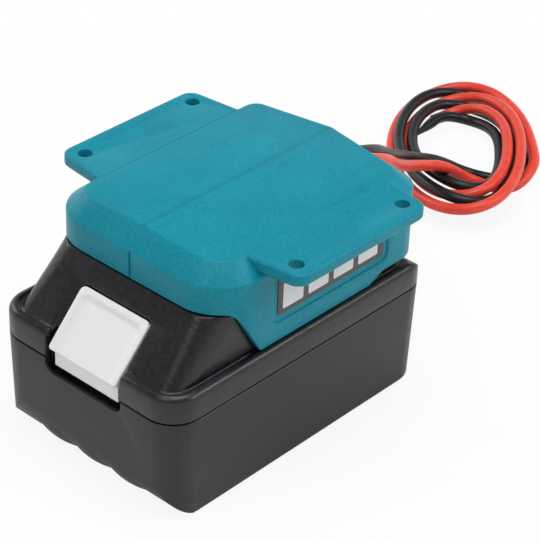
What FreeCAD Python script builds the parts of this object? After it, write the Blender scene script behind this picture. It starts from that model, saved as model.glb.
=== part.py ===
import FreeCAD, Part
import Sketcher
import math
import os

from FreeCAD import Rotation, Vector

# Battery adapter docked on its slide-in battery pack, in millimetres.
# Origin: centre of the battery's footprint on the surface that it stands on.
# +X is the side with the sticker, -Y the front with the release button, +Z up.

doc = FreeCAD.newDocument("battery_adapter")
sheet = doc.addObject("Spreadsheet::Sheet", "Sizes")


class Rule:
    """A length with its value now and the spreadsheet formula behind it."""

    def __init__(self, text, value):
        self.text = text
        self.value = value

    def __add__(self, other):
        other = as_rule(other)
        return Rule("(%s + %s)" % (self.text, other.text), self.value + other.value)

    def __sub__(self, other):
        other = as_rule(other)
        return Rule("(%s - %s)" % (self.text, other.text), self.value - other.value)

    def __mul__(self, other):
        other = as_rule(other)
        return Rule("(%s * %s)" % (self.text, other.text), self.value * other.value)

    def __truediv__(self, other):
        other = as_rule(other)
        return Rule("(%s / %s)" % (self.text, other.text), self.value / other.value)

    def __neg__(self):
        return Rule("(0 - %s)" % self.text, -self.value)

    def __radd__(self, other):
        return as_rule(other) + self

    def __rsub__(self, other):
        return as_rule(other) - self

    def __rmul__(self, other):
        return as_rule(other) * self


def as_rule(item):
    if isinstance(item, Rule):
        return item
    return Rule("(%s)" % item if item < 0 else str(item), float(item))


def sine(angle):
    return Rule("sin(%s)" % angle.text, math.sin(math.radians(angle.value)))


def cosine(angle):
    return Rule("cos(%s)" % angle.text, math.cos(math.radians(angle.value)))


def tangent(angle):
    return Rule("tan(%s)" % angle.text, math.tan(math.radians(angle.value)))


cell_rows = []


def cell(alias, value, note):
    """Writes one driving dimension into the sheet and gives its rule back."""
    cell_rows.append(alias)
    row = len(cell_rows)
    sheet.set("A%d" % row, note)
    sheet.set("B%d" % row, str(value))
    sheet.setAlias("B%d" % row, alias)
    return None if isinstance(value, str) else Rule("Sizes." + alias, float(value))


def tied(alias, rule, note):
    """Writes a dimension that follows others into the sheet."""
    cell(alias, "=" + rule.text.replace("Sizes.", ""), note)
    return Rule("Sizes." + alias, rule.value)


# Battery case
case_length = cell("case_length", 113.8, "battery case, front to back at the seam")
case_width = cell("case_width", 75.0, "battery case, side to side at the seam")
half_length = case_length / 2
half_width = case_width / 2
case_corner = cell("case_corner", 10.2, "upright corners of the case, radius")
case_taper = cell("case_taper", 1.1, "how far each side leans in from seam to floor")
case_wall = cell("case_wall", 2.2, "walls of the case")
case_floor = cell("case_floor", 2.4, "floor of the lower case")
seam_height = cell("seam_height", 35.2, "seam of the two case halves above the floor")
seam_gap = cell("seam_gap", 0.4, "height of the shadow gap at the seam")
seam_depth = cell("seam_depth", 0.6, "depth of the shadow gap at the seam")
heel_round = cell("heel_round", 14.0, "round of the front bottom edge, radius")
foot_round = cell("foot_round", 1.5, "bottom edges of the case, radius")
lobe_pitch = cell("lobe_pitch", 14.8, "finger lobes under the front, side to side")
lobe_rise = cell("lobe_rise", 0.9, "how far a finger lobe stands out of the round")
lobe_lean = cell("lobe_lean", 41.0, "lobes' crests, degrees forward from straight down")
lobe_shift = cell("lobe_shift", 3.9, "centre of the lobes' bend from the round's centre")
rim_height = cell("rim_height", 9.2, "upright rim of the upper case above the seam")
rim_round = cell("rim_round", 2.4, "round of the rim's outer top edge, radius")
rim_shoulder = cell("rim_shoulder", 2.9, "flat of the rim, from its outside to the groove")
groove_depth = cell("groove_depth", 0.9, "groove between the rim and the tower")
bevel_length = cell("bevel_length", 9.6, "rear slope of the rim, front to back")
bevel_drop = cell("bevel_drop", 8.6, "rear slope of the rim, top to bottom")
tower_side_inset = cell("tower_side_inset", 4.2, "tower side in from the case side")
tower_front_inset = cell("tower_front_inset", 4.3, "tower foot in from the case front")
tower_height = cell("tower_height", 16.5, "tower above the rim")
tower_back = tied("tower_back", half_length - 6.9, "back face of the tower from the centre")
tower_corner = cell("tower_corner", 6.0, "round between the tower's slope and sides")
tower_corner_top = cell("tower_corner_top", 9.0, "the same round at the tower's top")
tower_wall = cell("tower_wall", 2.4, "walls and top of the tower")
slope_angle = cell("slope_angle", 47.0, "slope of the tower's front above level")

# Rails and running clearances
slide_clearance = cell("slide_clearance", 0.3, "gap between sliding faces")
rail_width = cell("rail_width", 3.2, "how far an adapter rail reaches inwards")
rail_height = cell("rail_height", 3.3, "rail, bottom to top")
rail_lift = cell("rail_lift", 3.0, "underside of the rail above the rim")
rail_front = tied("rail_front", 39.9 - half_length, "front end of the rails from the centre")

# Release latch
button_width = cell("button_width", 28.0, "plate of the release button")
button_foot_width = cell("button_foot_width", 26.4, "lower part of the release button")
button_length = cell("button_length", 21.2, "plate of the button, along its slope")
button_plate = cell("button_plate", 2.2, "plate of the button, thickness")
button_proud = cell("button_proud", 0.5, "how far the plate stands out of the slope, level")
button_lip_height = cell("button_lip_height", 39.8, "lower edge of the plate above the floor")
button_step = cell("button_step", 2.3, "lower part set back under the lip")
button_foot_height = cell("button_foot_height", 33.0, "underside of the button above the floor")
button_back = tied("button_back", half_length - 8.9, "back of the button's lower part from the centre")
dish_depth = cell("dish_depth", 0.6, "thumb dish in the plate")
dish_border = cell("dish_border", 2.4, "raised border beside and above the dish")
channel_width = cell("channel_width", 31.0, "channel for the button in the rim")
button_slot_width = cell("button_slot_width", 28.8, "slot for the button in the tower's slope")
button_slot_corner = cell("button_slot_corner", 2.3, "upper corners of that slot, radius")
channel_wall = cell("channel_wall", 1.6, "walls round the channel")
channel_depth = cell("channel_depth", 8.5, "channel floor under the plate's face")
channel_end_gap = cell("channel_end_gap", 0.55, "gap past the upper end of the plate")
well_floor = cell("well_floor", 28.8, "floor of the spring well above the surface")
well_back = tied("well_back", half_length - 9.7, "back wall of the spring well from the centre")
latch_travel = cell("latch_travel", 3.5, "how far the button goes down")
notch_width = cell("notch_width", 31.6, "notch in the lower case under the button")
notch_floor = cell("notch_floor", 30.7, "front edge of the notch above the floor")
notch_round = cell("notch_round", 3.0, "lower corners of the notch, radius")
notch_lip = cell("notch_lip", 1.4, "front lip of the notch, thickness")
hook_width = cell("hook_width", 18.8, "latch hook, side to side")
hook_thickness = cell("hook_thickness", 2.2, "neck of the hook")
hook_neck_depth = cell("hook_neck_depth", 3.2, "neck under the plate's face")
tongue_front = tied("tongue_front", half_length - 22.7, "front face of the tongue from the centre")
tongue_depth = cell("tongue_depth", 5.0, "tongue, front to back")
tongue_rise = cell("tongue_rise", 0.2, "tongue above the tower's top")
tongue_height = cell("tongue_height", 5.0, "tongue, bottom to top")
spring_radius = cell("spring_radius", 2.0, "latch spring, outside radius")
spring_wire = cell("spring_wire", 0.6, "latch spring, wire")
spring_length = cell("spring_length", 13.4, "latch spring as fitted")
spring_spread = cell("spring_spread", 16.0, "latch springs, centre to centre")
spring_setback = tied("spring_setback", half_length - 5.9, "latch springs from the centre")

# Inside the battery
can_radius = cell("can_radius", 9.1, "battery cell, radius")
can_length = tied("can_length", case_width - 2 * case_taper - 2 * case_wall - 3.4, "battery cell, length")
can_pitch = cell("can_pitch", 18.6, "battery cells, centre to centre")
can_front = tied("can_front", 11.9 - half_length, "front of the first row of cells")
can_lift = cell("can_lift", 0.6, "holders stand this high over the floor")
holder_depth = cell("holder_depth", 9.0, "cell holder, along the cells")
holder_rim = cell("holder_rim", 0.7, "cell holder above and below its cells")
link_thickness = cell("link_thickness", 0.3, "nickel link")
link_width = cell("link_width", 8.0, "nickel link, upright")
sheet_thickness = cell("sheet_thickness", 0.8, "insulating sheet over the cells")
sheet_front = tied("sheet_front", 17.9 - half_length, "front edge of the insulating sheet")
sheet_length = cell("sheet_length", 85.0, "insulating sheet, front to back")
board_thickness = cell("board_thickness", 1.6, "control board")
board_width = tied("board_width", case_width - 21, "control board, side to side")
board_length = cell("board_length", 72.0, "control board, front to back")
board_front = tied("board_front", 30.9 - half_length, "front edge of the control board")
screw_radius = cell("screw_radius", 1.25, "case screw, thread")
screw_head = cell("screw_head", 2.1, "case screw, head radius")
screw_head_height = cell("screw_head_height", 1.6, "case screw, head height")
screw_length = cell("screw_length", 12.8, "case screw under its head")
screw_seat = cell("screw_seat", 26.0, "seat of the screw heads above the floor")
boss_radius = cell("boss_radius", 3.3, "screw bosses in the case")
screw_spread = tied("screw_spread", case_width - 16, "case screws, side to side")
screw_front = tied("screw_front", 7.7 - half_length, "front case screws from the centre")
screw_back = tied("screw_back", half_length - 5.1, "rear case screws from the centre")

# Adapter housing
shell_front = tied("shell_front", 19.4 - half_length, "front face of the adapter from the centre")
shell_back = tied("shell_back", half_length - 3.5, "back face of the adapter from the centre")
shell_wall = cell("shell_wall", 2.2, "walls of the adapter")
shell_width = tied("shell_width", case_width - 2 * (tower_side_inset - slide_clearance - shell_wall),
                   "adapter body, side to side")
shell_corner = cell("shell_corner", 10.0, "upright rear corners of the adapter, radius")
shell_front_corner = cell("shell_front_corner", 15.0, "upright front corners of the adapter, radius")
wall_top = cell("wall_top", 70.5, "top of the adapter's upright walls above the floor")
roof_side = cell("roof_side", 75.95, "roof at its side edges above the floor")
roof_ridge = cell("roof_ridge", 77.1, "roof at its middle ridge above the floor")
roof_width = tied("roof_width", shell_width - 13, "roof between its side edges")
roof_front = tied("roof_front", shell_front + 5.8, "front edge of the roof from the centre")
roof_back_middle = tied("roof_back_middle", shell_back - 3.6, "back edge of the roof at the ridge")
roof_back_side = tied("roof_back_side", shell_back - 7.2, "back edge of the roof at its corners")
roof_front_corner = cell("roof_front_corner", 8.0, "front corners of the roof, radius")
roof_back_corner = cell("roof_back_corner", 4.0, "back corners of the roof, radius")
cavity_top = cell("cavity_top", 69.4, "underside of the adapter's shoulders")
hollow_top = cell("hollow_top", 73.4, "underside of the roof")
cheek_bottom = cell("cheek_bottom", 44.9, "lower edge of the cheeks above the floor")
band_bottom = cell("band_bottom", 61.4, "lower edge of the front wall above the floor")
sweep_foot = tied("sweep_foot", shell_front + 17.9, "front tip of the cheeks from the centre")
sweep_head = tied("sweep_head", shell_front + 7.9, "where the cheek's sweep meets the front wall")
sweep_round = cell("sweep_round", 6.0, "round at the head of the sweep, radius")
catch_depth = cell("catch_depth", 0.6, "catch rib behind the front wall")
catch_width = cell("catch_width", 24.0, "catch rib, side to side")

tail_front = tied("tail_front", shell_back - 24.4, "where the cheeks start to rise at the back")
tail_back = tied("tail_back", shell_back - 18.6, "where the cheeks end their rise at the back")
tail_rise = cell("tail_rise", 2.6, "rise of the cheeks at the back")

# Mounting ears
ear_span = tied("ear_span", roof_width + 39.9, "over both ears, side to side")
ear_thickness = cell("ear_thickness", 3.9, "mounting ears")
ear_top = cell("ear_top", 75.72, "top of the ears above the floor")
ear_front = tied("ear_front", roof_front + 12.5, "front edge of the ears at their tips")
ear_back = tied("ear_back", roof_back_side - 8.8, "back edge of the ears at their tips")
ear_flare = cell("ear_flare", 2.0, "how much wider the ears are at the roof")
ear_corner = cell("ear_corner", 4.5, "corners of the ears, radius")
ear_round = cell("ear_round", 0.9, "rounded edges of the ears, radius")
hole_spacing_x = tied("hole_spacing_x", ear_span - 12.2, "ear holes, side to side")
hole_spacing_y = tied("hole_spacing_y", ear_back - ear_front - 10.2, "ear holes, front to back")
hole_middle_y = tied("hole_middle_y", (ear_front + ear_back) / 2, "middle of the ear holes from the centre")
hole_radius = cell("hole_radius", 2.3, "ear holes, radius")

# Sticker
label_front = tied("label_front", shell_front + 25, "front end of the sticker")
label_back = tied("label_back", shell_back - 19.1, "back end of the sticker")
label_bottom = cell("label_bottom", 53.2, "lower edge of the sticker")
label_top = cell("label_top", 67.0, "upper edge of the sticker")
label_thickness = cell("label_thickness", 0.25, "sticker")
label_round = cell("label_round", 1.2, "corners of the sticker, radius")
recess_margin = cell("recess_margin", 2.2, "recess round the sticker")
recess_depth = cell("recess_depth", 0.6, "depth of the sticker's recess")

# Contacts
blade_spread = cell("blade_spread", 38.0, "contact blades, centre to centre")
blade_thickness = cell("blade_thickness", 0.8, "contact blade")
blade_front = tied("blade_front", shell_back - 25.9, "front edge of the blades")
blade_length = cell("blade_length", 12.5, "contact blade, front to back")
blade_tip = cell("blade_tip", 52.4, "lower edge of the blades above the floor")
blade_top = cell("blade_top", 66.6, "upper edge of the blades above the floor")
block_width = cell("block_width", 52.0, "terminal block, side to side")
block_front = tied("block_front", shell_back - 34.4, "front face of the terminal block")
block_length = cell("block_length", 20.0, "terminal block, front to back")
block_height = cell("block_height", 5.4, "terminal block")
block_lift = cell("block_lift", 1.1, "terminal block above the tower")
slot_clearance = cell("slot_clearance", 1.6, "tower's contact slot beside the blade")
clip_leaf = cell("clip_leaf", 0.6, "leaf of a battery clip")
clip_gap = cell("clip_gap", 0.3, "gap between a blade and a leaf")

# Wires
wire_radius = cell("wire_radius", 2.0, "insulated wire, radius")
wire_spread = cell("wire_spread", 5.4, "wires at the exit, centre to centre")
exit_offset = cell("exit_offset", 5.4, "middle of the wire exit, right of the centre")
exit_height = cell("exit_height", 66.0, "wire exit above the floor")
grommet_lip = cell("grommet_lip", 1.2, "flange of the wire grommet")
grommet_edge = cell("grommet_edge", 1.15, "flange round the wire exit")
grommet_nose = cell("grommet_nose", 2.8, "nose of the grommet outside its flange")
grommet_margin = cell("grommet_margin", 1.3, "rubber round the wires")
wire_slack = cell("wire_slack", 0.15, "gap between a wire and its bore")
inside_bend = cell("inside_bend", 4.5, "bends of the wires inside the adapter, radius")
floor_gap = cell("floor_gap", 0.05, "lowest wire above the floor")
coil_x = cell("coil_x", -38.4, "middle of the coil, to the side")
coil_y = cell("coil_y", 169.3, "middle of the coil, behind the centre")
coil_turn = cell("coil_turn", 41.5, "how far the coil is turned on the floor, degrees")
coil_half_width = cell("coil_half_width", 27.5, "outer turn of the coil, half its width")
coil_half_depth = cell("coil_half_depth", 50.6, "outer turn of the coil, half its depth")
coil_side_pitch = cell("coil_side_pitch", 2.5, "step from wire to wire at the coil's sides")
coil_end_pitch = cell("coil_end_pitch", 4.9, "step from wire to wire at the coil's ends")
coil_layer = cell("coil_layer", 4.15, "red wire above the black wire")
coil_hump = cell("coil_hump", 4.8, "lift of the later turns over the leads")
coil_reach = cell("coil_reach", 8.3, "how far the later turns reach to the object")
coil_lean = cell("coil_lean", 0.8, "sideways lean of the coil's oval")
coil_bulge = cell("coil_bulge", 3.1, "how much wider the later turns are towards the object")
coil_shift = cell("coil_shift", 2.6, "how far they lie to the side there")
red_turns = cell("red_turns", 2.31, "turns of the red wire")
black_turns = cell("black_turns", 2.36, "turns of the black wire")
black_tip_length = cell("black_tip_length", 11.0, "tapered end of the black wire")
black_tip_radius = cell("black_tip_radius", 0.6, "tip of the black wire, radius")

doc.recompute()


def bind(item, prop, rule):
    """Ties a property to its rule, or sets it where the rule is a plain number."""
    item.setExpression(prop, as_rule(rule).text)


def put(item, x=0, y=0, z=0):
    for axis, rule in (("x", x), ("y", y), ("z", z)):
        bind(item, "Placement.Base." + axis, rule)


def box(name, size, corner, turn=None):
    item = doc.addObject("Part::Box", name)
    if turn is not None:
        item.Placement.Rotation = turn
    for prop, rule in zip(("Length", "Width", "Height"), size):
        bind(item, prop, rule)
    put(item, *corner)
    return item


AXES = {
    "X": Rotation(Vector(0, 1, 0), 90),
    "Y": Rotation(Vector(1, 0, 0), -90),
    "Z": Rotation(),
}


def rod(name, radius, length, foot, axis="Z"):
    item = doc.addObject("Part::Cylinder", name)
    item.Placement.Rotation = AXES[axis]
    bind(item, "Radius", radius)
    bind(item, "Height", length)
    put(item, *foot)
    return item


def cut(name, base, *tools):
    tool = tools[0] if len(tools) == 1 else fuse(name + "_tools", *tools)
    result = doc.addObject("Part::Cut", name)
    result.Base = base
    result.Tool = tool
    result.Refine = True
    return result


def common(name, first, second):
    result = doc.addObject("Part::Common", name)
    result.Base = first
    result.Tool = second
    return result


def fuse(name, *parts):
    result = doc.addObject("Part::MultiFuse", name)
    result.Shapes = list(parts)
    result.Refine = True
    return result


def group(name, *parts):
    """Separate solids of one node, kept apart."""
    result = doc.addObject("Part::Compound", name)
    result.Links = list(parts)
    return result


def rounded(name, base, radius, keep, top_radius=None):
    """Fillets the edges that keep() picks by their middle and direction; the upper ends can differ."""
    doc.recompute()
    result = doc.addObject("Part::Fillet", name)
    result.Base = base
    size = as_rule(radius).value
    top_size = size if top_radius is None else as_rule(top_radius).value
    picked = []
    for count, edge in enumerate(base.Shape.Edges, 1):
        if edge.Length > 1e-6 and keep(edge):
            rising = edge.valueAt(edge.LastParameter).z > edge.valueAt(edge.FirstParameter).z
            picked.append((count, size, top_size) if rising else (count, top_size, size))
    if not picked:
        raise ValueError("no edge to round on " + name)
    result.Edges = picked
    return result


def middle(edge):
    return edge.valueAt((edge.FirstParameter + edge.LastParameter) / 2)


def runs_along(edge, axis):
    """True for a straight edge along X, Y or Z."""
    if edge.Curve.TypeId != "Part::GeomLine":
        return False
    direction = edge.Curve.Direction
    return abs(abs(getattr(direction, axis)) - 1) < 1e-6


def near(value, target, within=0.05):
    return abs(value - as_rule(target).value) < within


def profile(name, points):
    """Sketch of a closed outline on the YZ plane, each corner tied to its rules."""
    sketch = doc.addObject("Sketcher::SketchObject", name)
    sketch.Placement.Rotation = Rotation(0.5, 0.5, 0.5, 0.5)
    corners = [(as_rule(y), as_rule(z)) for y, z in points]
    total = len(corners)
    for count in range(total):
        a = corners[count]
        b = corners[(count + 1) % total]
        start = Vector(a[0].value, a[1].value, 0)
        end = Vector(b[0].value, b[1].value, 0)
        sketch.addGeometry(Part.LineSegment(start, end), False)
    for count in range(total):
        sketch.addConstraint(Sketcher.Constraint("Coincident", count, 2, (count + 1) % total, 1))
    for count, (y, z) in enumerate(corners):
        for kind, rule in (("DistanceX", y), ("DistanceY", z)):
            number = sketch.addConstraint(Sketcher.Constraint(kind, -1, 1, count, 1, rule.value))
            sketch.setExpression("Constraints[%d]" % number, rule.text)
    return sketch


def slab(name, points, width):
    """A YZ outline extruded to both sides of x = 0."""
    item = doc.addObject("Part::Extrusion", name)
    item.Base = profile(name + "_profile", points)
    item.DirMode = "Normal"
    item.Solid = True
    item.Symmetric = True
    bind(item, "LengthFwd", width)
    return item


def plane_of(body, role):
    for feature in body.Origin.OriginFeatures:
        if feature.Role == role:
            return feature
    raise ValueError(role)


def rounded_sketch(body, name, width, length, radius, offset=0, height=0):
    """Sketch of a rounded rectangle on a level plane, centred on x = 0 and y = offset."""
    width, length, radius = as_rule(width), as_rule(length), as_rule(radius)
    offset, height = as_rule(offset), as_rule(height)
    sketch = body.newObject("Sketcher::SketchObject", name)
    sketch.AttachmentSupport = [(plane_of(body, "XY_Plane"), "")]
    sketch.MapMode = "FlatFace"
    bind(sketch, "AttachmentOffset.Base.z", height)
    x = width.value / 2
    y0 = offset.value - length.value / 2
    y1 = offset.value + length.value / 2
    r = radius.value
    lines = (
        ((-x + r, y0), (x - r, y0)),
        ((x, y0 + r), (x, y1 - r)),
        ((x - r, y1), (-x + r, y1)),
        ((-x, y1 - r), (-x, y0 + r)),
    )
    for a, b in lines:
        sketch.addGeometry(Part.LineSegment(Vector(a[0], a[1], 0), Vector(b[0], b[1], 0)), False)
    arcs = (
        ((x - r, y0 + r), 270),
        ((x - r, y1 - r), 0),
        ((-x + r, y1 - r), 90),
        ((-x + r, y0 + r), 180),
    )
    for centre, start in arcs:
        circle = Part.Circle(Vector(centre[0], centre[1], 0), Vector(0, 0, 1), r)
        first = math.radians(start)
        sketch.addGeometry(Part.ArcOfCircle(circle, first, first + math.pi / 2), False)
    ring = (0, 4, 1, 5, 2, 6, 3, 7)
    for count, item in enumerate(ring):
        after = ring[(count + 1) % len(ring)]
        sketch.addConstraint(Sketcher.Constraint("Tangent", item, 2, after, 1))
    for line, kind in ((0, "Horizontal"), (2, "Horizontal"), (1, "Vertical"), (3, "Vertical")):
        sketch.addConstraint(Sketcher.Constraint(kind, line))
    for arc in (5, 6, 7):
        sketch.addConstraint(Sketcher.Constraint("Equal", 4, arc))
    sizes = (
        (("Radius", 4), radius),
        (("DistanceX", -1, 1, 1, 1), width / 2),
        (("DistanceX", 3, 1, -1, 1), width / 2),
        (("DistanceY", 0, 1, -1, 1), length / 2 - offset),
        (("DistanceY", -1, 1, 2, 1), length / 2 + offset),
    )
    for args, rule in sizes:
        number = sketch.addConstraint(Sketcher.Constraint(*args, rule.value))
        sketch.setExpression("Constraints[%d]" % number, rule.text)
    return sketch


def pad(body, name, sketch, length, taper=None):
    item = body.newObject("PartDesign::Pad", name)
    item.Profile = sketch
    bind(item, "Length", length)
    if taper is not None:
        bind(item, "TaperAngle", taper)
    return item


def pocket(body, name, sketch, depth, upwards=False):
    item = body.newObject("PartDesign::Pocket", name)
    item.Profile = sketch
    item.Reversed = upwards
    bind(item, "Length", depth)
    return item


def block_body(name, width, length, radius, offset, bottom, height):
    """A body made of one rounded plate or block."""
    body = doc.addObject("PartDesign::Body", name)
    sketch = rounded_sketch(body, name + "_outline", width, length, radius, offset, bottom)
    pad(body, name + "_pad", sketch, height)
    return body


def arc_tan(top, bottom):
    angle = math.degrees(math.atan(top.value / bottom.value))
    return Rule("atan(%s / %s)" % (top.text, bottom.text), angle)


nodes = {}


def node(name, item):
    item.Label = name
    nodes[name] = item
    return item


# Places shared by several pieces
rim_top = seam_height + rim_height
tower_top = rim_top + tower_height
tower_half = half_width - tower_side_inset
slope_foot = -half_length + tower_front_inset
slope_run = tangent(slope_angle)


def slope_y(z):
    """Where the tower's front slope stands at height z."""
    return slope_foot + (z - rim_top) / slope_run


def slope_point(along, depth):
    """A point of the button's own slope: along it from the lip, and in under it."""
    lip_y = slope_y(button_lip_height) - button_proud
    y = lip_y + along * cosine(slope_angle) + depth * sine(slope_angle)
    z = button_lip_height + along * sine(slope_angle) - depth * cosine(slope_angle)
    return y, z


def on_slope(y, depth):
    """The point at y on the line that lies depth under the button's face."""
    lip_y = slope_y(button_lip_height) - button_proud
    along = (y - lip_y - depth * sine(slope_angle)) / cosine(slope_angle)
    return y, button_lip_height + along * sine(slope_angle) - depth * cosine(slope_angle)


# Lower case of the battery: a tapered tub with a rounded heel and finger lobes
tub = doc.addObject("PartDesign::Body", "tub")
tub_outline = rounded_sketch(tub, "tub_outline", case_width - 2 * case_taper,
                             case_length - 2 * case_taper, case_corner - case_taper)
tub_pad = pad(tub, "tub_pad", tub_outline, seam_height, arc_tan(case_taper, seam_height))
doc.recompute()
foot_edges = ["Edge%d" % count for count, edge in enumerate(tub.Shape.Edges, 1)
              if near(edge.BoundBox.ZMax, 0)]
foot_fillet = tub.newObject("PartDesign::Fillet", "foot_fillet")
foot_fillet.Base = (tub_pad, foot_edges)
bind(foot_fillet, "Radius", foot_round)

heel_y = -half_length + case_taper * (1 - heel_round / seam_height) + heel_round
heel_block = box("heel_block", (case_width + 4, heel_round + 2, heel_round + 2),
                 (-half_width - 2, heel_y - heel_round - 2, -2))
heel_rod = rod("heel_rod", heel_round, case_width + 6, (-half_width - 3, heel_y, heel_round), "X")
heel_cutter = cut("heel_cutter", heel_block, heel_rod)


def lobe(count):
    """One finger lobe: an arched barrel lying along the heel's round."""
    half = lobe_pitch.value / 2
    x = count * lobe_pitch.value
    flush = heel_round.value - lobe_shift.value - 0.15
    base = flush - 0.5
    a = Vector(x - half, 0, -base)
    b = Vector(x - half, 0, -flush)
    crest = Vector(x, 0, -flush - 0.15 - lobe_rise.value)
    c = Vector(x + half, 0, -flush)
    d = Vector(x + half, 0, -base)
    outline = Part.Wire([
        Part.LineSegment(a, b).toShape(),
        Part.Arc(b, crest, c).toShape(),
        Part.LineSegment(c, d).toShape(),
        Part.LineSegment(d, a).toShape(),
    ])
    lean = math.radians(lobe_lean.value)
    barrel = Part.Face(outline).revolve(Vector(0, 0, 0), Vector(1, 0, 0), -106)
    barrel.rotate(Vector(0, 0, 0), Vector(1, 0, 0), 53 - lobe_lean.value)
    barrel.translate(Vector(0, heel_y.value - lobe_shift.value * math.sin(lean),
                            heel_round.value - lobe_shift.value * math.cos(lean)))
    item = doc.addObject("Part::Feature", "lobe_%d" % (count + 2))
    item.Shape = barrel
    return item


lobes = [lobe(count) for count in (-1, 0, 1)]
tub_form = cut("tub_form", tub, heel_cutter)

tub_inner = doc.addObject("PartDesign::Body", "tub_inner")
inner_outline = rounded_sketch(tub_inner, "inner_outline", case_width - 2 * (case_taper + case_wall),
                               case_length - 2 * (case_taper + case_wall),
                               case_corner - case_taper - case_wall, 0, case_floor)
pad(tub_inner, "inner_pad", inner_outline, seam_height, arc_tan(case_taper, seam_height))
inner_heel_rod = rod("inner_heel_rod", heel_round - case_wall, case_width + 6,
                     (-half_width - 3, heel_y, heel_round), "X")
inner_heel_block = box("inner_heel_block", (case_width + 4, heel_round + 2, heel_round + 2),
                       (-half_width - 2, heel_y - heel_round - 2, -2))
tub_hollow = cut("tub_hollow", tub_inner, cut("inner_heel_cutter", inner_heel_block, inner_heel_rod))

screw_places = [(side * screw_spread / 2, y) for side in (-1, 1) for y in (screw_front, screw_back)]
notch_height = seam_height - notch_floor + 2
notch_box = box("notch_box", (notch_width, case_wall + 6, notch_height),
                (-notch_width / 2, -half_length - 3, notch_floor))
notch_cutter = rounded("notch_cutter", notch_box, notch_round, lambda edge: runs_along(edge, "y")
                       and near(middle(edge).z, notch_floor))
notch_pocket = box("notch_pocket", (channel_width, case_wall, seam_height - well_floor + 2),
                   (-channel_width / 2, -half_length + notch_lip, well_floor))

lower_bosses = [rod("lower_boss_%d" % count, boss_radius, seam_height - case_floor + 0.5,
                    (x, y, case_floor - 0.5)) for count, (x, y) in enumerate(screw_places)]
head_bores = [rod("head_bore_%d" % count, screw_head + 0.2, screw_seat + 1, (x, y, -1))
              for count, (x, y) in enumerate(screw_places)]
shank_bores = [rod("shank_bore_%d" % count, screw_radius + 0.15, seam_height, (x, y, screw_seat - 1))
               for count, (x, y) in enumerate(screw_places)]
boss_forms = common("boss_forms", tub_form, fuse("lower_bosses", *lower_bosses))
lower_solid = fuse("lower_solid", cut("tub_shell", tub_form, tub_hollow), boss_forms, *lobes)
node("battery_lower_case", cut("battery_lower_case", lower_solid, notch_cutter, notch_pocket,
                               *head_bores, *shank_bores))

# Upper case of the battery: rim, tower with its sloped front, rail grooves and button channel
rim = doc.addObject("PartDesign::Body", "rim")
rim_outline = rounded_sketch(rim, "rim_outline", case_width, case_length, case_corner, 0,
                             seam_height + seam_gap)
rim_pad = pad(rim, "rim_pad", rim_outline, rim_height - seam_gap)
doc.recompute()
top_edges = ["Edge%d" % count for count, edge in enumerate(rim.Shape.Edges, 1)
             if near(edge.BoundBox.ZMin, rim_top) and near(edge.BoundBox.ZMax, rim_top)]
rim_fillet = rim.newObject("PartDesign::Fillet", "rim_fillet")
rim_fillet.Base = (rim_pad, top_edges)
bind(rim_fillet, "Radius", rim_round)
seat_outline = rounded_sketch(rim, "seat_outline", case_width - 2 * seam_depth,
                              case_length - 2 * seam_depth, case_corner - seam_depth, 0, seam_height)
pad(rim, "seat_pad", seat_outline, seam_gap + 0.2)
groove_outline = rounded_sketch(rim, "groove_outline", case_width - 2 * rim_shoulder,
                                case_length - 2 * rim_shoulder, case_corner - rim_shoulder, 0, rim_top)
pocket(rim, "groove_pocket", groove_outline, groove_depth)
rim_hollow_block = block_body("rim_hollow_block", case_width - 2 * case_wall, case_length - 2 * case_wall,
                              case_corner - case_wall, 0, seam_height - 1, rim_height - case_wall + 1)


def bevel(name, drop):
    """Cutter over the rim's rounded rear slope, lowered by drop."""
    steps = ((-0.3, 0.08), (0.0, 0.0), (0.23, -0.09), (0.54, -0.32), (0.8, -0.58), (0.94, -0.8), (1.0, -1.0))
    curve = [(half_length - bevel_length * (1 - along), rim_top - drop + bevel_drop * fall)
             for along, fall in steps]
    return slab(name, curve + [(half_length + 6, rim_top - drop - bevel_drop), (half_length + 6, rim_top + 6),
                               (half_length - bevel_length * 1.3, rim_top + 6)], case_width + 10)


rim_block = cut("rim_block", rim, bevel("rim_bevel", 0))
rim_hollow = cut("rim_hollow", rim_hollow_block, bevel("rim_inner_bevel", case_wall + 0.3))
rim_shell = cut("rim_shell", rim_block, rim_hollow)

tower_base = rim_top - groove_depth - 0.9
tower_block = slab("tower_block", [
    (slope_y(tower_base), tower_base),
    (slope_y(tower_top), tower_top),
    (tower_back, tower_top),
    (tower_back, tower_base),
], 2 * tower_half)
tower_sides = rounded("tower_sides", tower_block, tower_corner, lambda edge: (
    not runs_along(edge, "x") and not runs_along(edge, "y") and middle(edge).y < 0
    and abs(middle(edge).x) > button_slot_width.value / 2 + 2), tower_corner_top)
tower_rear = rounded("tower_rear", tower_sides, shell_corner - shell_wall - slide_clearance, lambda edge: (
    runs_along(edge, "z") and near(middle(edge).y, tower_back)))
tower_form = rounded("tower_form", tower_rear, 1.2, lambda edge: near(middle(edge).z, tower_top)
                     and edge.BoundBox.ZLength < 0.01)
tower_front_wall = tower_wall / sine(slope_angle)
tower_hollow_half = tower_half - rail_width - slide_clearance - tower_wall
tower_hollow = slab("tower_hollow", [
    (slope_y(rim_top - case_wall - 1) + tower_front_wall, rim_top - case_wall - 1),
    (slope_y(tower_top - tower_wall) + tower_front_wall, tower_top - tower_wall),
    (tower_back - tower_wall, tower_top - tower_wall),
    (tower_back - tower_wall, rim_top - case_wall - 1),
], 2 * tower_hollow_half)

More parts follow.
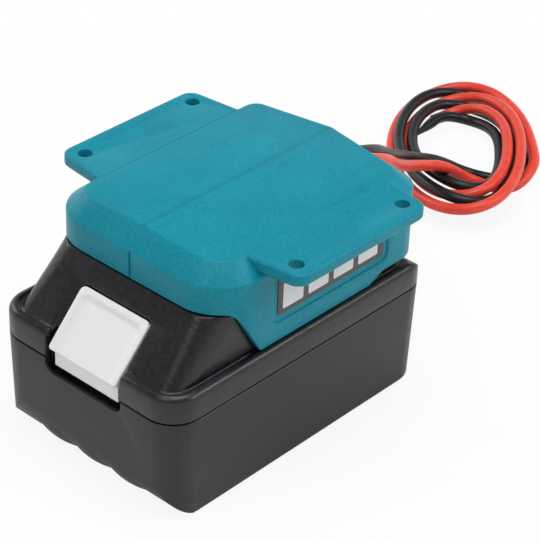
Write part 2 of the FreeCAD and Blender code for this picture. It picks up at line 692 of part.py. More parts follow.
wall = channel_wall
shaft_floor = on_slope(-tongue_front, channel_depth)[1]
shaft_back = tongue_front - tongue_depth - 1.0
channel_block = slab("channel_block", [
    (-half_length + case_wall + 0.6, well_floor - wall),
    (-well_back + wall, well_floor - wall),
    (-well_back + wall, on_slope(-well_back, channel_depth)[1] - wall),
    (-tongue_front + wall, shaft_floor - wall),
    (-shaft_back + wall, shaft_floor - wall),
    (-shaft_back + wall, tower_top - tower_wall + 0.4),
    (slope_y(tower_top - tower_wall) + 1.0, tower_top - tower_wall + 0.4),
    (slope_y(rim_top) + 1.0, rim_top),
    (-half_length + case_wall - 0.2, rim_top - 1.0),
    (-half_length + case_wall - 0.2, seam_height + 0.05),
    (-half_length + case_wall + 0.6, seam_height + 0.05),
], channel_width + 2 * wall)
channel_end = button_length + channel_end_gap
channel_points = [
    (-half_length - 3, well_floor),
    (-well_back, well_floor),
    on_slope(-well_back, channel_depth),
    (-tongue_front - 0.6, on_slope(-tongue_front - 0.6, channel_depth)[1]),
    (-shaft_back, shaft_floor),
    (-shaft_back, tower_top - tower_wall),
    (slope_y(tower_top - tower_wall) + tower_front_wall, tower_top - tower_wall),
    slope_point(channel_end, tower_wall + button_proud * sine(slope_angle)),
    slope_point(channel_end, -3),
    (-half_length - 3, button_lip_height + 2),
]
slot_end_y = slope_point(channel_end, 0)[0]
slope_slot = rounded("slope_slot", slab("slope_slot_block", channel_points, button_slot_width),
                     button_slot_corner, lambda edge: (
                         not runs_along(edge, "x") and abs(middle(edge).x) > 10
                         and near(middle(edge).y, slot_end_y, 2.5) and edge.Length < 7))
rim_slot_limit = box("rim_slot_limit", (channel_width + 4, case_wall + 14, seam_height + rim_height),
                     (-channel_width / 2 - 2, -half_length - 4, 0))
rim_slot = common("rim_slot", slab("rim_slot_block", channel_points, channel_width), rim_slot_limit)
tongue_opening = box("tongue_opening", (hook_width + 1.2, tongue_depth + 2.1, tower_wall + 2),
                     (-(hook_width + 1.2) / 2, -tongue_front - 1.6, tower_top - tower_wall - 1))

groove_reach = rail_width + slide_clearance
groove_bottom = rim_top + rail_lift - slide_clearance
groove_length = tower_back - rail_front + slide_clearance + 4
rail_grooves = [box("rail_groove_%s" % side, (groove_reach + 3, groove_length,
                                              rail_height + 2 * slide_clearance),
                    (x, rail_front - slide_clearance, groove_bottom))
                for side, x in (("right", tower_half - groove_reach), ("left", -tower_half - 3))]
slot_width = blade_thickness + 2 * slot_clearance
contact_slots = [box("contact_slot_%s" % side, (slot_width, tower_back - blade_front + 5, 14),
                     (sign * blade_spread / 2 - slot_width / 2, blade_front - 1.2, blade_tip - 0.8))
                 for side, sign in (("right", 1), ("left", -1))]
upper_bosses = [rod("upper_boss_%d" % count, boss_radius - 0.4, rim_height - case_wall + 0.4,
                    (x, y, seam_height)) for count, (x, y) in enumerate(screw_places)]
thread_bores = [rod("thread_bore_%d" % count, screw_radius, screw_length + 0.6 - seam_height + screw_seat,
                    (x, y, seam_height)) for count, (x, y) in enumerate(screw_places)]
upper_boss_forms = common("upper_boss_forms", rim_block, fuse("upper_boss_rods", *upper_bosses))
upper_shell = cut("upper_shell", fuse("upper_blank", rim_shell, tower_form), tower_hollow)
upper_solid = fuse("upper_solid", upper_shell, channel_block, upper_boss_forms)
node("battery_upper_case", cut("battery_upper_case", upper_solid, slope_slot, rim_slot, tongue_opening,
                               *rail_grooves, *contact_slots, *thread_bores))

# Release button: white plate on the slope with a thumb dish, and a foot over two springs
foot_y = slope_point(0, 0)[0] + button_step
plate_back = on_slope(-button_back, button_plate)
button_plate_slab = slab("button_plate_slab", [
    slope_point(0, 0),
    slope_point(button_length, 0),
    slope_point(button_length, button_plate),
    slope_point(0, button_plate),
    (slope_point(0, 0)[0] + 0.3, button_lip_height - 1.0),
], button_width)
button_foot = slab("button_foot", [
    (foot_y, button_foot_height),
    (foot_y, button_lip_height),
    slope_point(1.0, 1.0),
    (-button_back, plate_back[1] + 0.6),
    (-button_back, button_foot_height),
], button_foot_width)
dish_turn = Rotation(Vector(1, 0, 0), slope_angle.value)
dish_corner = slope_point(-2, dish_depth)
thumb_dish = box("thumb_dish", (button_width - 2 * dish_border, button_length - dish_border + 2, 4),
                 (-(button_width - 2 * dish_border) / 2, dish_corner[0], dish_corner[1]), dish_turn)
plate_edges = rounded("plate_edges", button_plate_slab, 2.0, lambda edge: (
    not runs_along(edge, "x") and edge.Length < button_plate.value + 0.5
    and middle(edge).z > button_lip_height.value + 3))
spring_bores = [rod("spring_bore_%d" % count, spring_radius + 0.3, spring_length + well_floor - button_foot_height,
                    (sign * spring_spread / 2, -spring_setback, button_foot_height))
                for count, sign in enumerate((-1, 1))]
button_blank = fuse("button_blank", plate_edges, button_foot)
node("release_button", cut("release_button", button_blank, thumb_dish, *spring_bores))

# Latch hook: black neck behind the plate, with the tongue that comes up through the tower's top
neck = hook_neck_depth
neck_start = button_length - 7.7
neck_back = hook_neck_depth + hook_thickness
tongue_top = tower_top + tongue_rise
tongue_bottom = tongue_top - tongue_height
tongue_back = tongue_front - tongue_depth
neck_end = (tongue_bottom - on_slope(-tongue_front, neck_back)[1]) / slope_run
node("latch_hook", slab("latch_hook", [
    slope_point(neck_start, button_plate),
    slope_point(button_length, button_plate),
    slope_point(button_length, neck),
    on_slope(-tongue_front, neck),
    (-tongue_front, tongue_top),
    (-tongue_back, tongue_top),
    (-tongue_back, tongue_bottom),
    (-tongue_front + neck_end, tongue_bottom),
    slope_point(neck_start, neck_back),
], hook_width))

# Latch springs: two, between the well's floor and the bores in the button
springs = []
for count, sign in enumerate((-1, 1)):
    place = (sign * spring_spread / 2, -spring_setback, well_floor)
    outer = rod("spring_outer_%d" % count, spring_radius, spring_length, place)
    inner = rod("spring_inner_%d" % count, spring_radius - spring_wire, spring_length, place)
    springs.append(cut("spring_%d" % count, outer, inner))
node("latch_springs", group("latch_springs", *springs))

# Cells: two layers of five, lying across the case
holder_bottom = case_floor + can_lift
layer_heights = [holder_bottom + holder_rim + can_radius,
                 holder_bottom + holder_rim + can_radius + can_pitch]
can_rows = [can_front + can_radius + count * can_pitch for count in range(5)]
cans = []
for z in layer_heights:
    for y in can_rows:
        cans.append(rod("cell_%d" % len(cans), can_radius, can_length, (-can_length / 2, y, z), "X"))
node("battery_cells", group("battery_cells", *cans))

# Cell holders: one frame at each end of the cells, bored to take them
holder_length = 4 * can_pitch + 2 * can_radius + 1.2
holder_height = can_pitch + 2 * can_radius + 2 * holder_rim
holder_outer = can_length / 2 - 0.4
for side, sign in (("right", 1), ("left", -1)):
    low = holder_outer - holder_depth if sign > 0 else -holder_outer
    frame = box("holder_%s" % side, (holder_depth, holder_length, holder_height),
                (low, can_front - 0.6, holder_bottom))
    bores = [rod("holder_bore_%s_%d_%d" % (side, row, layer), can_radius, holder_depth + 2,
                 (low - 1, y, z), "X")
             for row, y in enumerate(can_rows) for layer, z in enumerate(layer_heights)]
    node("cell_holder_" + side, cut("cell_holder_" + side, frame, *bores))

# Nickel links: each joins the cells above and below it to the next pair
links = []
link_height = can_pitch + link_width
for side, sign in (("right", 1), ("left", -1)):
    x = can_length / 2 if sign > 0 else -can_length / 2 - link_thickness
    pairs = ((0, 1), (2, 3), (4, 4)) if sign > 0 else ((0, 0), (1, 2), (3, 4))
    for first, last in pairs:
        width = (last - first) * can_pitch + link_width
        links.append(box("link_%s_%d" % (side, first), (link_thickness, width, link_height),
                         (x, can_rows[first] - link_width / 2, layer_heights[0] - link_width / 2)))
node("cell_links", group("cell_links", *links))

# Insulating sheet, control board, clips and signal socket over the cells
sheet_bottom = holder_bottom + holder_height
node("insulating_sheet", block_body("insulating_sheet", can_length - 2, sheet_length, 2,
                                    sheet_front + sheet_length / 2, sheet_bottom, sheet_thickness))
board_bottom = sheet_bottom + sheet_thickness
board_top = board_bottom + board_thickness
board = block_body("board", board_width, board_length, 2, board_front + board_length / 2,
                   board_bottom, board_thickness)
chips = [
    box("chip_main", (9, 9, 1.2), (-12, -2, board_top - 0.1)),
    box("chip_switch_front", (6.5, 10, 2.2), (8, -14, board_top - 0.1)),
    box("chip_switch_back", (6.5, 10, 2.2), (16, -14, board_top - 0.1)),
    box("chip_small", (5, 4, 1.0), (-22, 10, board_top - 0.1)),
]
node("control_board", fuse("control_board", board, *chips))

clip_top = tower_top - tower_wall - 1.6
clip_front = blade_front
clip_length = blade_length
clip_half_gap = blade_thickness / 2 + clip_gap
for name, sign in (("positive_clip", 1), ("negative_clip", -1)):
    x = sign * blade_spread / 2
    leaves = [
        box(name + "_leaf_a", (clip_leaf, clip_length, clip_top - board_top),
            (x + clip_half_gap, clip_front, board_top)),
        box(name + "_leaf_b", (clip_leaf, clip_length, clip_top - board_top),
            (x - clip_half_gap - clip_leaf, clip_front, board_top)),
        box(name + "_bridge", (2 * (clip_half_gap + clip_leaf), clip_length, 1.0),
            (x - clip_half_gap - clip_leaf, clip_front, board_top)),
    ]
    node(name, fuse(name, *leaves))

socket_block = box("socket_block", (14, 10, 11), (-7, 31, board_top))
socket_slots = [box("socket_slot_%d" % count, (1.2, 8, 9), (-5.6 + 2.5 * count, 32, board_top + 3))
                for count in range(5)]
node("signal_socket", cut("signal_socket", socket_block, *socket_slots))

# Case screws, driven from below into the upper case
screws = []
for count, (x, y) in enumerate(screw_places):
    head = rod("screw_head_%d" % count, screw_head, screw_head_height, (x, y, screw_seat - screw_head_height))
    shank = rod("screw_shank_%d" % count, screw_radius, screw_length, (x, y, screw_seat))
    recess = rod("screw_recess_%d" % count, 0.9, 0.9, (x, y, screw_seat - screw_head_height))
    screws.append(cut("screw_%d" % count, fuse("screw_blank_%d" % count, head, shank), recess))
node("case_screws", group("case_screws", *screws))

# Adapter housing: walls, crown with a shallow ridge, mounting ears, cheeks with rails
shell_length = shell_back - shell_front
shell_middle = (shell_back + shell_front) / 2


def shell_block(name, inset, bottom, top):
    """Upright block inside the adapter's outline, with larger corners at the front."""
    block = box(name + "_box", (shell_width - 2 * inset, shell_length - 2 * inset, top - bottom),
                (-shell_width / 2 + inset, shell_front + inset, bottom))
    front = rounded(name + "_front", block, shell_front_corner - inset, lambda edge: (
        runs_along(edge, "z") and near(middle(edge).y, shell_front + inset)))
    return rounded(name, front, shell_corner - inset, lambda edge: (
        runs_along(edge, "z") and near(middle(edge).y, shell_back - inset)))


walls = shell_block("walls", as_rule(0), cheek_bottom, wall_top)
cavity = shell_block("cavity", shell_wall, cheek_bottom - 2, cavity_top)
tower_room = box("tower_room", (2 * (tower_half + slide_clearance), shell_corner * 2,
                                tower_top - cheek_bottom + slide_clearance + 2),
                 (-tower_half - slide_clearance, shell_front + shell_wall, cheek_bottom - 2))


def half_outline(points, radii, height):
    """Closed wire for x >= 0 with rounded corners; height gives z at x."""
    edges = []
    ends = []
    for count in (1, 2):
        before, corner, after = points[count - 1], points[count], points[count + 1]
        to_before = (before - corner).normalize()
        to_after = (after - corner).normalize()
        half_angle = to_before.getAngle(to_after) / 2
        reach = radii[count - 1] / math.tan(half_angle)
        bisector = (to_before + to_after).normalize()
        centre = corner + bisector * (radii[count - 1] / math.sin(half_angle))
        ends.append((corner + to_before * reach, centre - bisector * radii[count - 1],
                     corner + to_after * reach))

    def lift(point):
        return Vector(point.x, point.y, height(point.x))

    (a1, m1, b1), (a2, m2, b2) = ends
    edges.append(Part.LineSegment(lift(points[0]), lift(a1)).toShape())
    edges.append(Part.Arc(lift(a1), lift(m1), lift(b1)).toShape())
    edges.append(Part.LineSegment(lift(b1), lift(a2)).toShape())
    edges.append(Part.Arc(lift(a2), lift(m2), lift(b2)).toShape())
    edges.append(Part.LineSegment(lift(b2), lift(points[3])).toShape())
    edges.append(Part.LineSegment(lift(points[3]), lift(points[0])).toShape())
    return Part.Wire(edges)


def crown_shape():
    """Sloped shoulder from the walls up to the ridged roof, one half mirrored."""
    half_shell = shell_width.value / 2
    half_roof = roof_width.value / 2
    fall = (roof_ridge.value - roof_side.value) / half_roof
    lower = half_outline(
        [Vector(0, shell_front.value, 0), Vector(half_shell, shell_front.value, 0),
         Vector(half_shell, shell_back.value, 0), Vector(0, shell_back.value, 0)],
        (shell_front_corner.value, shell_corner.value), lambda x: wall_top.value)
    upper = half_outline(
        [Vector(0, roof_front.value, 0), Vector(half_roof, roof_front.value, 0),
         Vector(half_roof, roof_back_side.value, 0), Vector(0, roof_back_middle.value, 0)],
        (roof_front_corner.value, roof_back_corner.value),
        lambda x: roof_ridge.value - fall * x)
    half = Part.makeLoft([lower, upper], True, True)
    other = half.mirror(Vector(0, 0, 0), Vector(1, 0, 0))
    return half.fuse(other).removeSplitter()


crown = doc.addObject("Part::Feature", "crown")
crown.Shape = crown_shape()

ear_root = roof_width / 2
ear_plate_points = (
    (ear_span / 2, ear_front),
    (ear_span / 2, ear_back),
    (ear_root, ear_back + ear_flare),
    (-ear_root, ear_back + ear_flare),
    (-ear_span / 2, ear_back),
    (-ear_span / 2, ear_front),
    (-ear_root, ear_front - ear_flare),
    (ear_root, ear_front - ear_flare),
)
ear_sketch = profile("ear_outline", ear_plate_points)
ear_sketch.Placement.Rotation = Rotation()
put(ear_sketch, 0, 0, ear_top - ear_thickness)
ear_plate = doc.addObject("Part::Extrusion", "ear_plate")
ear_plate.Base = ear_sketch
ear_plate.DirMode = "Normal"
ear_plate.Solid = True
bind(ear_plate, "LengthFwd", ear_thickness)
ear_corners = rounded("ear_corners", ear_plate, ear_corner, lambda edge: (
    runs_along(edge, "z") and near(abs(middle(edge).x), ear_span / 2)))
ears = rounded("ears", ear_corners, ear_round, lambda edge: (
    edge.BoundBox.ZLength < 0.01 and abs(middle(edge).x) > ear_root.value + 0.5))

cutter_low = cheek_bottom - 6
sweep_rise = (band_bottom - cheek_bottom) / (sweep_foot - sweep_head)
sweep_cutter_block = slab("sweep_cutter_block", [
    (shell_front - 6, cutter_low),
    (shell_front - 6, band_bottom),
    (sweep_head, band_bottom),
    (sweep_foot + (cheek_bottom - cutter_low) / sweep_rise, cutter_low),
], shell_width + 20)
sweep_cutter = rounded("sweep_cutter", sweep_cutter_block, sweep_round, lambda edge: (
    runs_along(edge, "x") and near(middle(edge).y, sweep_head)))
tail_cutter_block = slab("tail_cutter_block", [
    (tail_front, cutter_low),
    (tail_front, cheek_bottom - 0.05),
    (tail_back, cheek_bottom + tail_rise),
    (shell_back - 3.4, cheek_bottom + tail_rise),
    (shell_back + 2, cheek_bottom + tail_rise + 6),
    (shell_back + 6, cheek_bottom + tail_rise + 6),
    (shell_back + 6, cutter_low),
], shell_width + 20)
tail_cutter = rounded("tail_cutter", tail_cutter_block, 4.0, lambda edge: (
    runs_along(edge, "x") and near(middle(edge).z, cheek_bottom + tail_rise)))

roof_hollow = block_body("roof_hollow", roof_width - 8, roof_back_side - roof_front - 8, 5,
                         (roof_back_side + roof_front) / 2 - 0.5, cavity_top - 1,
                         hollow_top - cavity_top + 1)
shell_half = shell_width / 2
inner_half = shell_half - shell_wall
rails = []
for side, sign in (("right", 1), ("left", -1)):
    x = inner_half - rail_width if sign > 0 else -inner_half - 0.4
    rails.append(box("rail_" + side, (rail_width + 0.4, shell_back - shell_wall - rail_front + 0.4,
                                      rail_height), (x, rail_front, rim_top + rail_lift)))
catch_rib = box("catch_rib", (catch_width, catch_depth + 0.4, cavity_top - band_bottom + 0.4),
                (-catch_width / 2, shell_front + shell_wall - 0.4, band_bottom))

label_length = label_back - label_front
label_height = label_top - label_bottom
recess_block = box("recess_block", (recess_depth + 2, label_length + 2 * recess_margin,
                                    label_height + 2 * recess_margin),
                   (shell_half - recess_depth, label_front - recess_margin, label_bottom - recess_margin))
recess_cutter = rounded("recess_cutter", recess_block, 3.0, lambda edge: runs_along(edge, "x"))

block_bottom = tower_top + block_lift
block_top = block_bottom + block_height
block_middle = block_front + block_length / 2
post_places = [(sx * 11.5, block_middle + sy * 7.5) for sx in (-1, 1) for sy in (-1, 1)]
posts = [rod("post_%d" % count, 3.0, hollow_top - block_top + 0.5, (x, y, block_top))
         for count, (x, y) in enumerate(post_places)]
post_bores = [rod("post_bore_%d" % count, 1.1, hollow_top - block_top - 0.4, (x, y, block_top))
              for count, (x, y) in enumerate(post_places)]

grommet_width = wire_spread + 2 * wire_radius + 2 * grommet_margin
grommet_height = 2 * (wire_radius + grommet_margin)
exit_hole = box("exit_hole", (grommet_width, shell_wall + 2, grommet_height),
                (exit_offset - grommet_width / 2, shell_back - shell_wall - 1,
                 exit_height - grommet_height / 2))
exit_opening = rounded("exit_opening", exit_hole, 3.0, lambda edge: runs_along(edge, "y"))

hole_places = [(sx * hole_spacing_x / 2, hole_middle_y + sy * hole_spacing_y / 2)
               for sx in (-1, 1) for sy in (-1, 1)]
ear_holes = [rod("ear_hole_%d" % count, hole_radius, ear_thickness + 2, (x, y, ear_top - ear_thickness - 1))
             for count, (x, y) in enumerate(hole_places)]
parting_line = box("parting_line", (0.24, 0.24, wall_top - band_bottom + 1),
                   (-0.12, shell_front - 0.12, band_bottom - 1))
shell_blank = fuse("shell_blank", walls, crown, ears)
shell_open = cut("shell_open", shell_blank, cavity, roof_hollow, tower_room)
rail_forms = common("rail_forms", walls, fuse("rail_boxes", *rails))
shell_fitted = fuse("shell_fitted", shell_open, catch_rib, rail_forms, *posts)
node("adapter_housing", cut("adapter_housing", shell_fitted, sweep_cutter, tail_cutter, recess_cutter,
                            exit_opening, parting_line, *post_bores, *ear_holes))

# Sticker in its recess
label_block = box("label_block", (label_thickness, label_length, label_height),
                  (shell_half - recess_depth, label_front, label_bottom))
node("rating_label", rounded("rating_label", label_block, label_round, lambda edge: runs_along(edge, "x")))

# Terminal block, its blades and screws
block_solid = block_body("block_solid", block_width, block_length, 2, block_middle, block_bottom, block_height)
blade_places = {"positive_blade": blade_spread / 2, "negative_blade": -blade_spread / 2}
blade_slots = [box(name + "_slot", (blade_thickness, blade_length, blade_top - block_bottom + 1),
                   (x - blade_thickness / 2, blade_front, block_bottom - 1))
               for name, x in blade_places.items()]
block_bores = [rod("block_bore_%d" % count, 1.3, block_height + 2, (x, y, block_bottom - 1))
               for count, (x, y) in enumerate(post_places)]
node("terminal_block", cut("terminal_block", block_solid, *blade_slots, *block_bores))
for name, x in blade_places.items():
    blade = box(name, (blade_thickness, blade_length, blade_top - blade_tip),
                (x - blade_thickness / 2, blade_front, blade_tip))
    node(name, blade)

block_screws = []
for count, (x, y) in enumerate(post_places):
    head = rod("block_screw_head_%d" % count, 2.0, 0.8, (x, y, block_bottom - 0.8))
    shank = rod("block_screw_shank_%d" % count, 1.1, block_height + 2.0, (x, y, block_bottom))
    block_screws.append(fuse("block_screw_%d" % count, head, shank))
node("block_screws", group("block_screws", *block_screws))

# Wire grommet in the back wall
grommet_bottom = exit_height - grommet_height / 2
grommet_neck = rounded("grommet_neck", box(
    "grommet_neck_block", (grommet_width, shell_wall, grommet_height),
    (exit_offset - grommet_width / 2, shell_back - shell_wall, grommet_bottom)),
    3.0, lambda edge: runs_along(edge, "y"))
grommet_flange = rounded("grommet_flange", box(
    "grommet_flange_block", (grommet_width + 2 * grommet_edge, grommet_lip, grommet_height + 2 * grommet_edge),
    (exit_offset - grommet_width / 2 - grommet_edge, shell_back, grommet_bottom - grommet_edge)),
    4.0, lambda edge: runs_along(edge, "y"))
grommet_snout = rounded("grommet_snout", box(
    "grommet_snout_block", (grommet_width - 0.8, grommet_nose, grommet_height - 0.8),
    (exit_offset - grommet_width / 2 + 0.4, shell_back + grommet_lip, grommet_bottom + 0.4)),
    2.6, lambda edge: runs_along(edge, "y"))
wire_bores = [rod("wire_bore_%d" % count, wire_radius + wire_slack, shell_wall + grommet_lip + grommet_nose + 2,
                  (exit_offset + sign * wire_spread / 2, shell_back - shell_wall - 1, exit_height), "Y")
              for count, sign in enumerate((-1, 1))]
node("wire_grommet", cut("wire_grommet", fuse("grommet_blank", grommet_neck, grommet_flange,
                                              grommet_snout), *wire_bores))

# Wires: each runs from its blade through the grommet, over to the coil that lies on the floor
gauge = wire_radius.value
exit_y = (shell_back + grommet_lip + grommet_nose).value
exit_z = exit_height.value
red_exit = Vector((exit_offset + wire_spread / 2).value, exit_y, exit_z)
black_exit = Vector((exit_offset - wire_spread / 2).value, exit_y, exit_z)


def arc_through(start, corner, end):
    """Arc from start to end, tangent to the lines through the corner."""
    chord_middle = (start + end) * 0.5
    half_chord = (end - start).Length / 2
    rise = (corner - chord_middle).Length
    if rise < 1e-6:
        return Part.LineSegment(start, end)
    sag = half_chord * math.tan(math.atan2(rise, half_chord) / 2)
    return Part.Arc(start, chord_middle + (corner - chord_middle).normalize() * sag, end)


def straight_runs(points, radius=None):
    """Straight runs joined by tangent arcs, with the arcs' radii."""
    pieces = []
    radii = []
    start = points[0]
    for before, corner, after in zip(points, points[1:], points[2:]):
        back = before - corner
        onward = after - corner
        half_turn = (math.pi - back.getAngle(onward)) / 2
        reach = 0.45 * min(back.Length, onward.Length)
        if radius is not None:
            reach = radius * math.tan(half_turn)
        radii.append(reach / math.tan(half_turn))
        arc_start = corner + back.normalize() * reach
        arc_end = corner + onward.normalize() * reach
        pieces.append(Part.LineSegment(start, arc_start))
        pieces.append(arc_through(arc_start, corner, arc_end))
        start = arc_end
    pieces.append(Part.LineSegment(start, points[-1]))
    return pieces, radii


def biarc(start, start_way, end, end_way):
    """Two arcs from start to end that keep both directions."""
    chord = end - start
    ways = start_way + end_way
    spread = 2 * (1 - start_way.dot(end_way))
    along = chord.dot(ways)
    reach = (math.sqrt(along * along + spread * chord.dot(chord)) - along) / spread
    first = start + start_way * reach
    second = end - end_way * reach
    joint = (first + second) * 0.5
    return [arc_through(start, first, joint), arc_through(joint, second, end)]


coil_across = Vector(math.cos(math.radians(coil_turn.value)), math.sin(math.radians(coil_turn.value)), 0)
coil_along = Vector(-coil_across.y, coil_across.x, 0)
coil_middle = Vector(coil_x.value, coil_y.value, gauge + floor_gap.value)


def coil_point(turns, place):
    """Centre line of one wire after so many turns: an oval spiral that winds inwards.

    The red wire (place 0) lies on top at the right and the black one (place 1) at the left; they
    swap at the ends, side by side. The later turns reach further towards the object and lift
    over the leads there.
    """
    angle = 2 * math.pi * turns
    index = 2 * turns + place
    later = 1.0 if turns > 0.5 else 0.0
    near_side = later * max(0.0, -math.sin(angle)) ** 2
    half_width = coil_half_width.value - coil_side_pitch.value * index + coil_bulge.value * near_side
    half_depth = coil_half_depth.value - coil_end_pitch.value * index + coil_reach.value * near_side
    over_leads = min(1.0, max(0.0, 0.5 + 0.82 * math.cos(angle + math.pi / 4)))
    right_side = min(1.0, max(-1.0, 2 * math.cos(angle)))
    level = coil_layer.value * (1 + (1 - 2 * place) * right_side) / 2
    across = half_width * math.cos(angle) + coil_lean.value * math.sin(angle) + coil_shift.value * near_side
    along = half_depth * math.sin(angle)
    lift = Vector(0, 0, level + later * coil_hump.value * over_leads)
    return coil_middle + coil_across * across + coil_along * along + lift


def coil_line(turns, place):
    """Biarcs through the twelfth turns, with a straight end of one wire's width at each end."""
    stops = [count / 12 for count in range(int(turns * 12) + 1)] + [turns]
    points = [coil_point(stop, place) for stop in stops]
    ways = []
    for stop in stops:
        way = coil_point(stop + 0.002, place) - coil_point(max(stop - 0.002, 0), place)
        ways.append(Vector(way.x, way.y, 0).normalize())
    pieces = [Part.LineSegment(points[0] - ways[0] * 2 * gauge, points[0])]
    for start, start_way, end, end_way in zip(points, ways, points[1:], ways[1:]):
        pieces += biarc(start, start_way, end, end_way)
    pieces.append(Part.LineSegment(points[-1], points[-1] + ways[-1] * 2 * gauge))
    return pieces, points[0] - ways[0] * 2 * gauge, ways[0], points[-1] + ways[-1] * 2 * gauge, ways[-1]


def sampled(pieces):
    """Points along a line, about a millimetre apart."""
    points = []
    for piece in pieces:
        edge = piece.toShape()
        count = max(2, int(edge.Length))
        span = edge.LastParameter - edge.FirstParameter
        points += [edge.valueAt(edge.FirstParameter + span * step / count) for step in range(count)]
    return points


def least_gap(first, second, apart):
    """Least gap between two wires' surfaces; apart skips the neighbours along one wire."""
    return min((a - b).Length - 2 * gauge for i, a in enumerate(first) for j, b in enumerate(second)
               if abs(i - j) >= apart)


def tube(name, pieces, *ends):
    """Round wire along a line, with any end pieces, as one solid."""
    path = Part.Wire([piece.toShape() for piece in pieces])
    start = path.Edges[0].valueAt(path.Edges[0].FirstParameter)
    way = path.Edges[0].tangentAt(path.Edges[0].FirstParameter)
    ring = Part.Wire(Part.makeCircle(gauge, start, way))
    solid = path.makePipeShell([ring], True, False)
    expected = math.pi * gauge ** 2 * path.Length
    if abs(solid.Volume / expected - 1) > 0.01:
        raise ValueError("%s has volume %.1f and not %.1f" % (name, solid.Volume, expected))
    print("%s is %.0f mm long" % (name, path.Length))
    item = doc.addObject("Part::Feature", name)
    item.Shape = solid.fuse(list(ends)).removeSplitter() if ends else solid
    return node(name, item)


red_coil, red_start, red_way, _, _ = coil_line(red_turns.value, 0)
black_coil, black_start, black_way, black_end, black_end_way = coil_line(black_turns.value, 1)
red_route = [Vector(*point) for point in (
    (7.5, 69, 62), (-1, 83, 50), (-14, 101, 36.5), (-26.5, 120, 24.5), (-33, 134.5, 17.5),
    (-30.5, 148.5, 12), (-23.5, 157, 3.2), (-8, 163.5, 2.1))]
black_route = [Vector(*point) for point in (
    (2.4, 69, 63.5), (-5, 84, 52.5), (-18, 103, 38.5), (-32, 123, 25), (-39, 140, 17),
    (-35, 152, 10.5), (-27.5, 161, 3.2), (-15, 167.5, 2.1))]
coil_approach = 11.0
red_lead, red_radii = straight_runs(
    [red_exit] + red_route + [red_start - red_way * coil_approach, red_start])
black_lead, black_radii = straight_runs(
    [black_exit] + black_route + [black_start - black_way * coil_approach, black_start])
print("red lead's bends", [round(radius, 1) for radius in red_radii])
print("black lead's bends", [round(radius, 1) for radius in black_radii])

tip = Part.makeCone(gauge, black_tip_radius.value, black_tip_length.value, black_end, black_end_way)
tube("red_wire_lead", red_lead)
tube("black_wire_lead", black_lead)
tube("red_wire_coil", red_coil)
tube("black_wire_coil", black_coil, tip)

inside_y = (shell_back - shell_wall).value - gauge - inside_bend.value + 2
for name, sign, wire_exit in (("red_wire_inside", 1, red_exit), ("black_wire_inside", -1, black_exit)):
    x = (sign * blade_spread / 2).value
    tube(name, straight_runs([
        Vector(x, (blade_front + blade_length).value, exit_z),
        Vector(x, inside_y, exit_z),
        Vector(wire_exit.x, inside_y, exit_z),
        wire_exit,
    ], inside_bend.value)[0])

red_points = sampled(red_coil)
black_points = sampled(black_coil)
print("red coil's least gap to itself %.2f" % least_gap(red_points, red_points, 20))
print("black coil's least gap to itself %.2f" % least_gap(black_points, black_points, 20))
print("gap between the coils %.2f" % least_gap(red_points, black_points, 0))
print("gap between the leads %.2f" % least_gap(sampled(red_lead), sampled(black_lead), 0))
print("gap from red lead to black coil %.2f" % least_gap(sampled(red_lead), black_points, 0))
print("gap from black lead to red coil %.2f" % least_gap(sampled(black_lead), red_points, 0))
print("gap from red lead to red coil %.2f" % least_gap(sampled(red_lead)[:-12], red_points, 0))
print("gap from black lead to black coil %.2f" % least_gap(sampled(black_lead)[:-12], black_points, 0))

doc.recompute()

failed = [item.Name for item in doc.Objects if "Invalid" in item.State or "Error" in item.State]
if failed:
    raise ValueError("could not be built: " + ", ".join(failed))
os.makedirs("parts", exist_ok=True)
for name, item in nodes.items():
    shape = item.Shape
    if shape.isNull() or not shape.isValid() or not shape.Solids:
        raise ValueError(name + " is not a valid solid")
    print("%-22s solids %2d  volume %9.1f" % (name, len(shape.Solids), shape.Volume))
    shape.exportStep("parts/%s.step" % name)
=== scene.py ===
import bpy
import math
from mathutils import Matrix, Vector


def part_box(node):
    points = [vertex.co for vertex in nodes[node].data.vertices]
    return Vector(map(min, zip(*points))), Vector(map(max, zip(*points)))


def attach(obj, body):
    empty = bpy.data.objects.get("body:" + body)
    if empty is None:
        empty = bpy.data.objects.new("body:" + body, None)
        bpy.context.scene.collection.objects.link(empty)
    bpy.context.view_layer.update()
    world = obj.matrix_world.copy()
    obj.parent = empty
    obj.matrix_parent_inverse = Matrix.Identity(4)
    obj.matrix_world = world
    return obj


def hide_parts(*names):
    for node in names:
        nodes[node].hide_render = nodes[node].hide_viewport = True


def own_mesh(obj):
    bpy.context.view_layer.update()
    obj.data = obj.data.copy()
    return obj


# Battery adapter docked on its battery pack, standing on a pale floor.
# Metres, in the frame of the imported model: +X the sticker's side, -Y the front, +Z up.
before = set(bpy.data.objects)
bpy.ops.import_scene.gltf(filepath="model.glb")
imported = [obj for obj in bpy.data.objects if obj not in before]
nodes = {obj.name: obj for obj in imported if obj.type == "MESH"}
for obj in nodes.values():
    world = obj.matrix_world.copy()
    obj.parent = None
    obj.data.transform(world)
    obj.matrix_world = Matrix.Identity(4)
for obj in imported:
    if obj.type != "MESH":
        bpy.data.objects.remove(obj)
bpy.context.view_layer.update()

# Camera at the photograph's viewing angle, from the right, above and in front.
# The lens is long, so the edges of the battery run nearly parallel.
camera_turn = math.radians(41.474)
camera_height = math.radians(33.157)
camera_roll = math.radians(2.219)
camera_place = Vector((0.3788, -0.4050, 0.4099))
back = Vector((math.sin(camera_turn) * math.cos(camera_height),
               -math.cos(camera_turn) * math.cos(camera_height),
               math.sin(camera_height)))
right = Vector((math.cos(camera_turn), math.sin(camera_turn), 0))
up = back.cross(right)
right_rolled = right * math.cos(camera_roll) + up * math.sin(camera_roll)
up_rolled = up * math.cos(camera_roll) - right * math.sin(camera_roll)
bpy.ops.object.camera_add(location=camera_place)
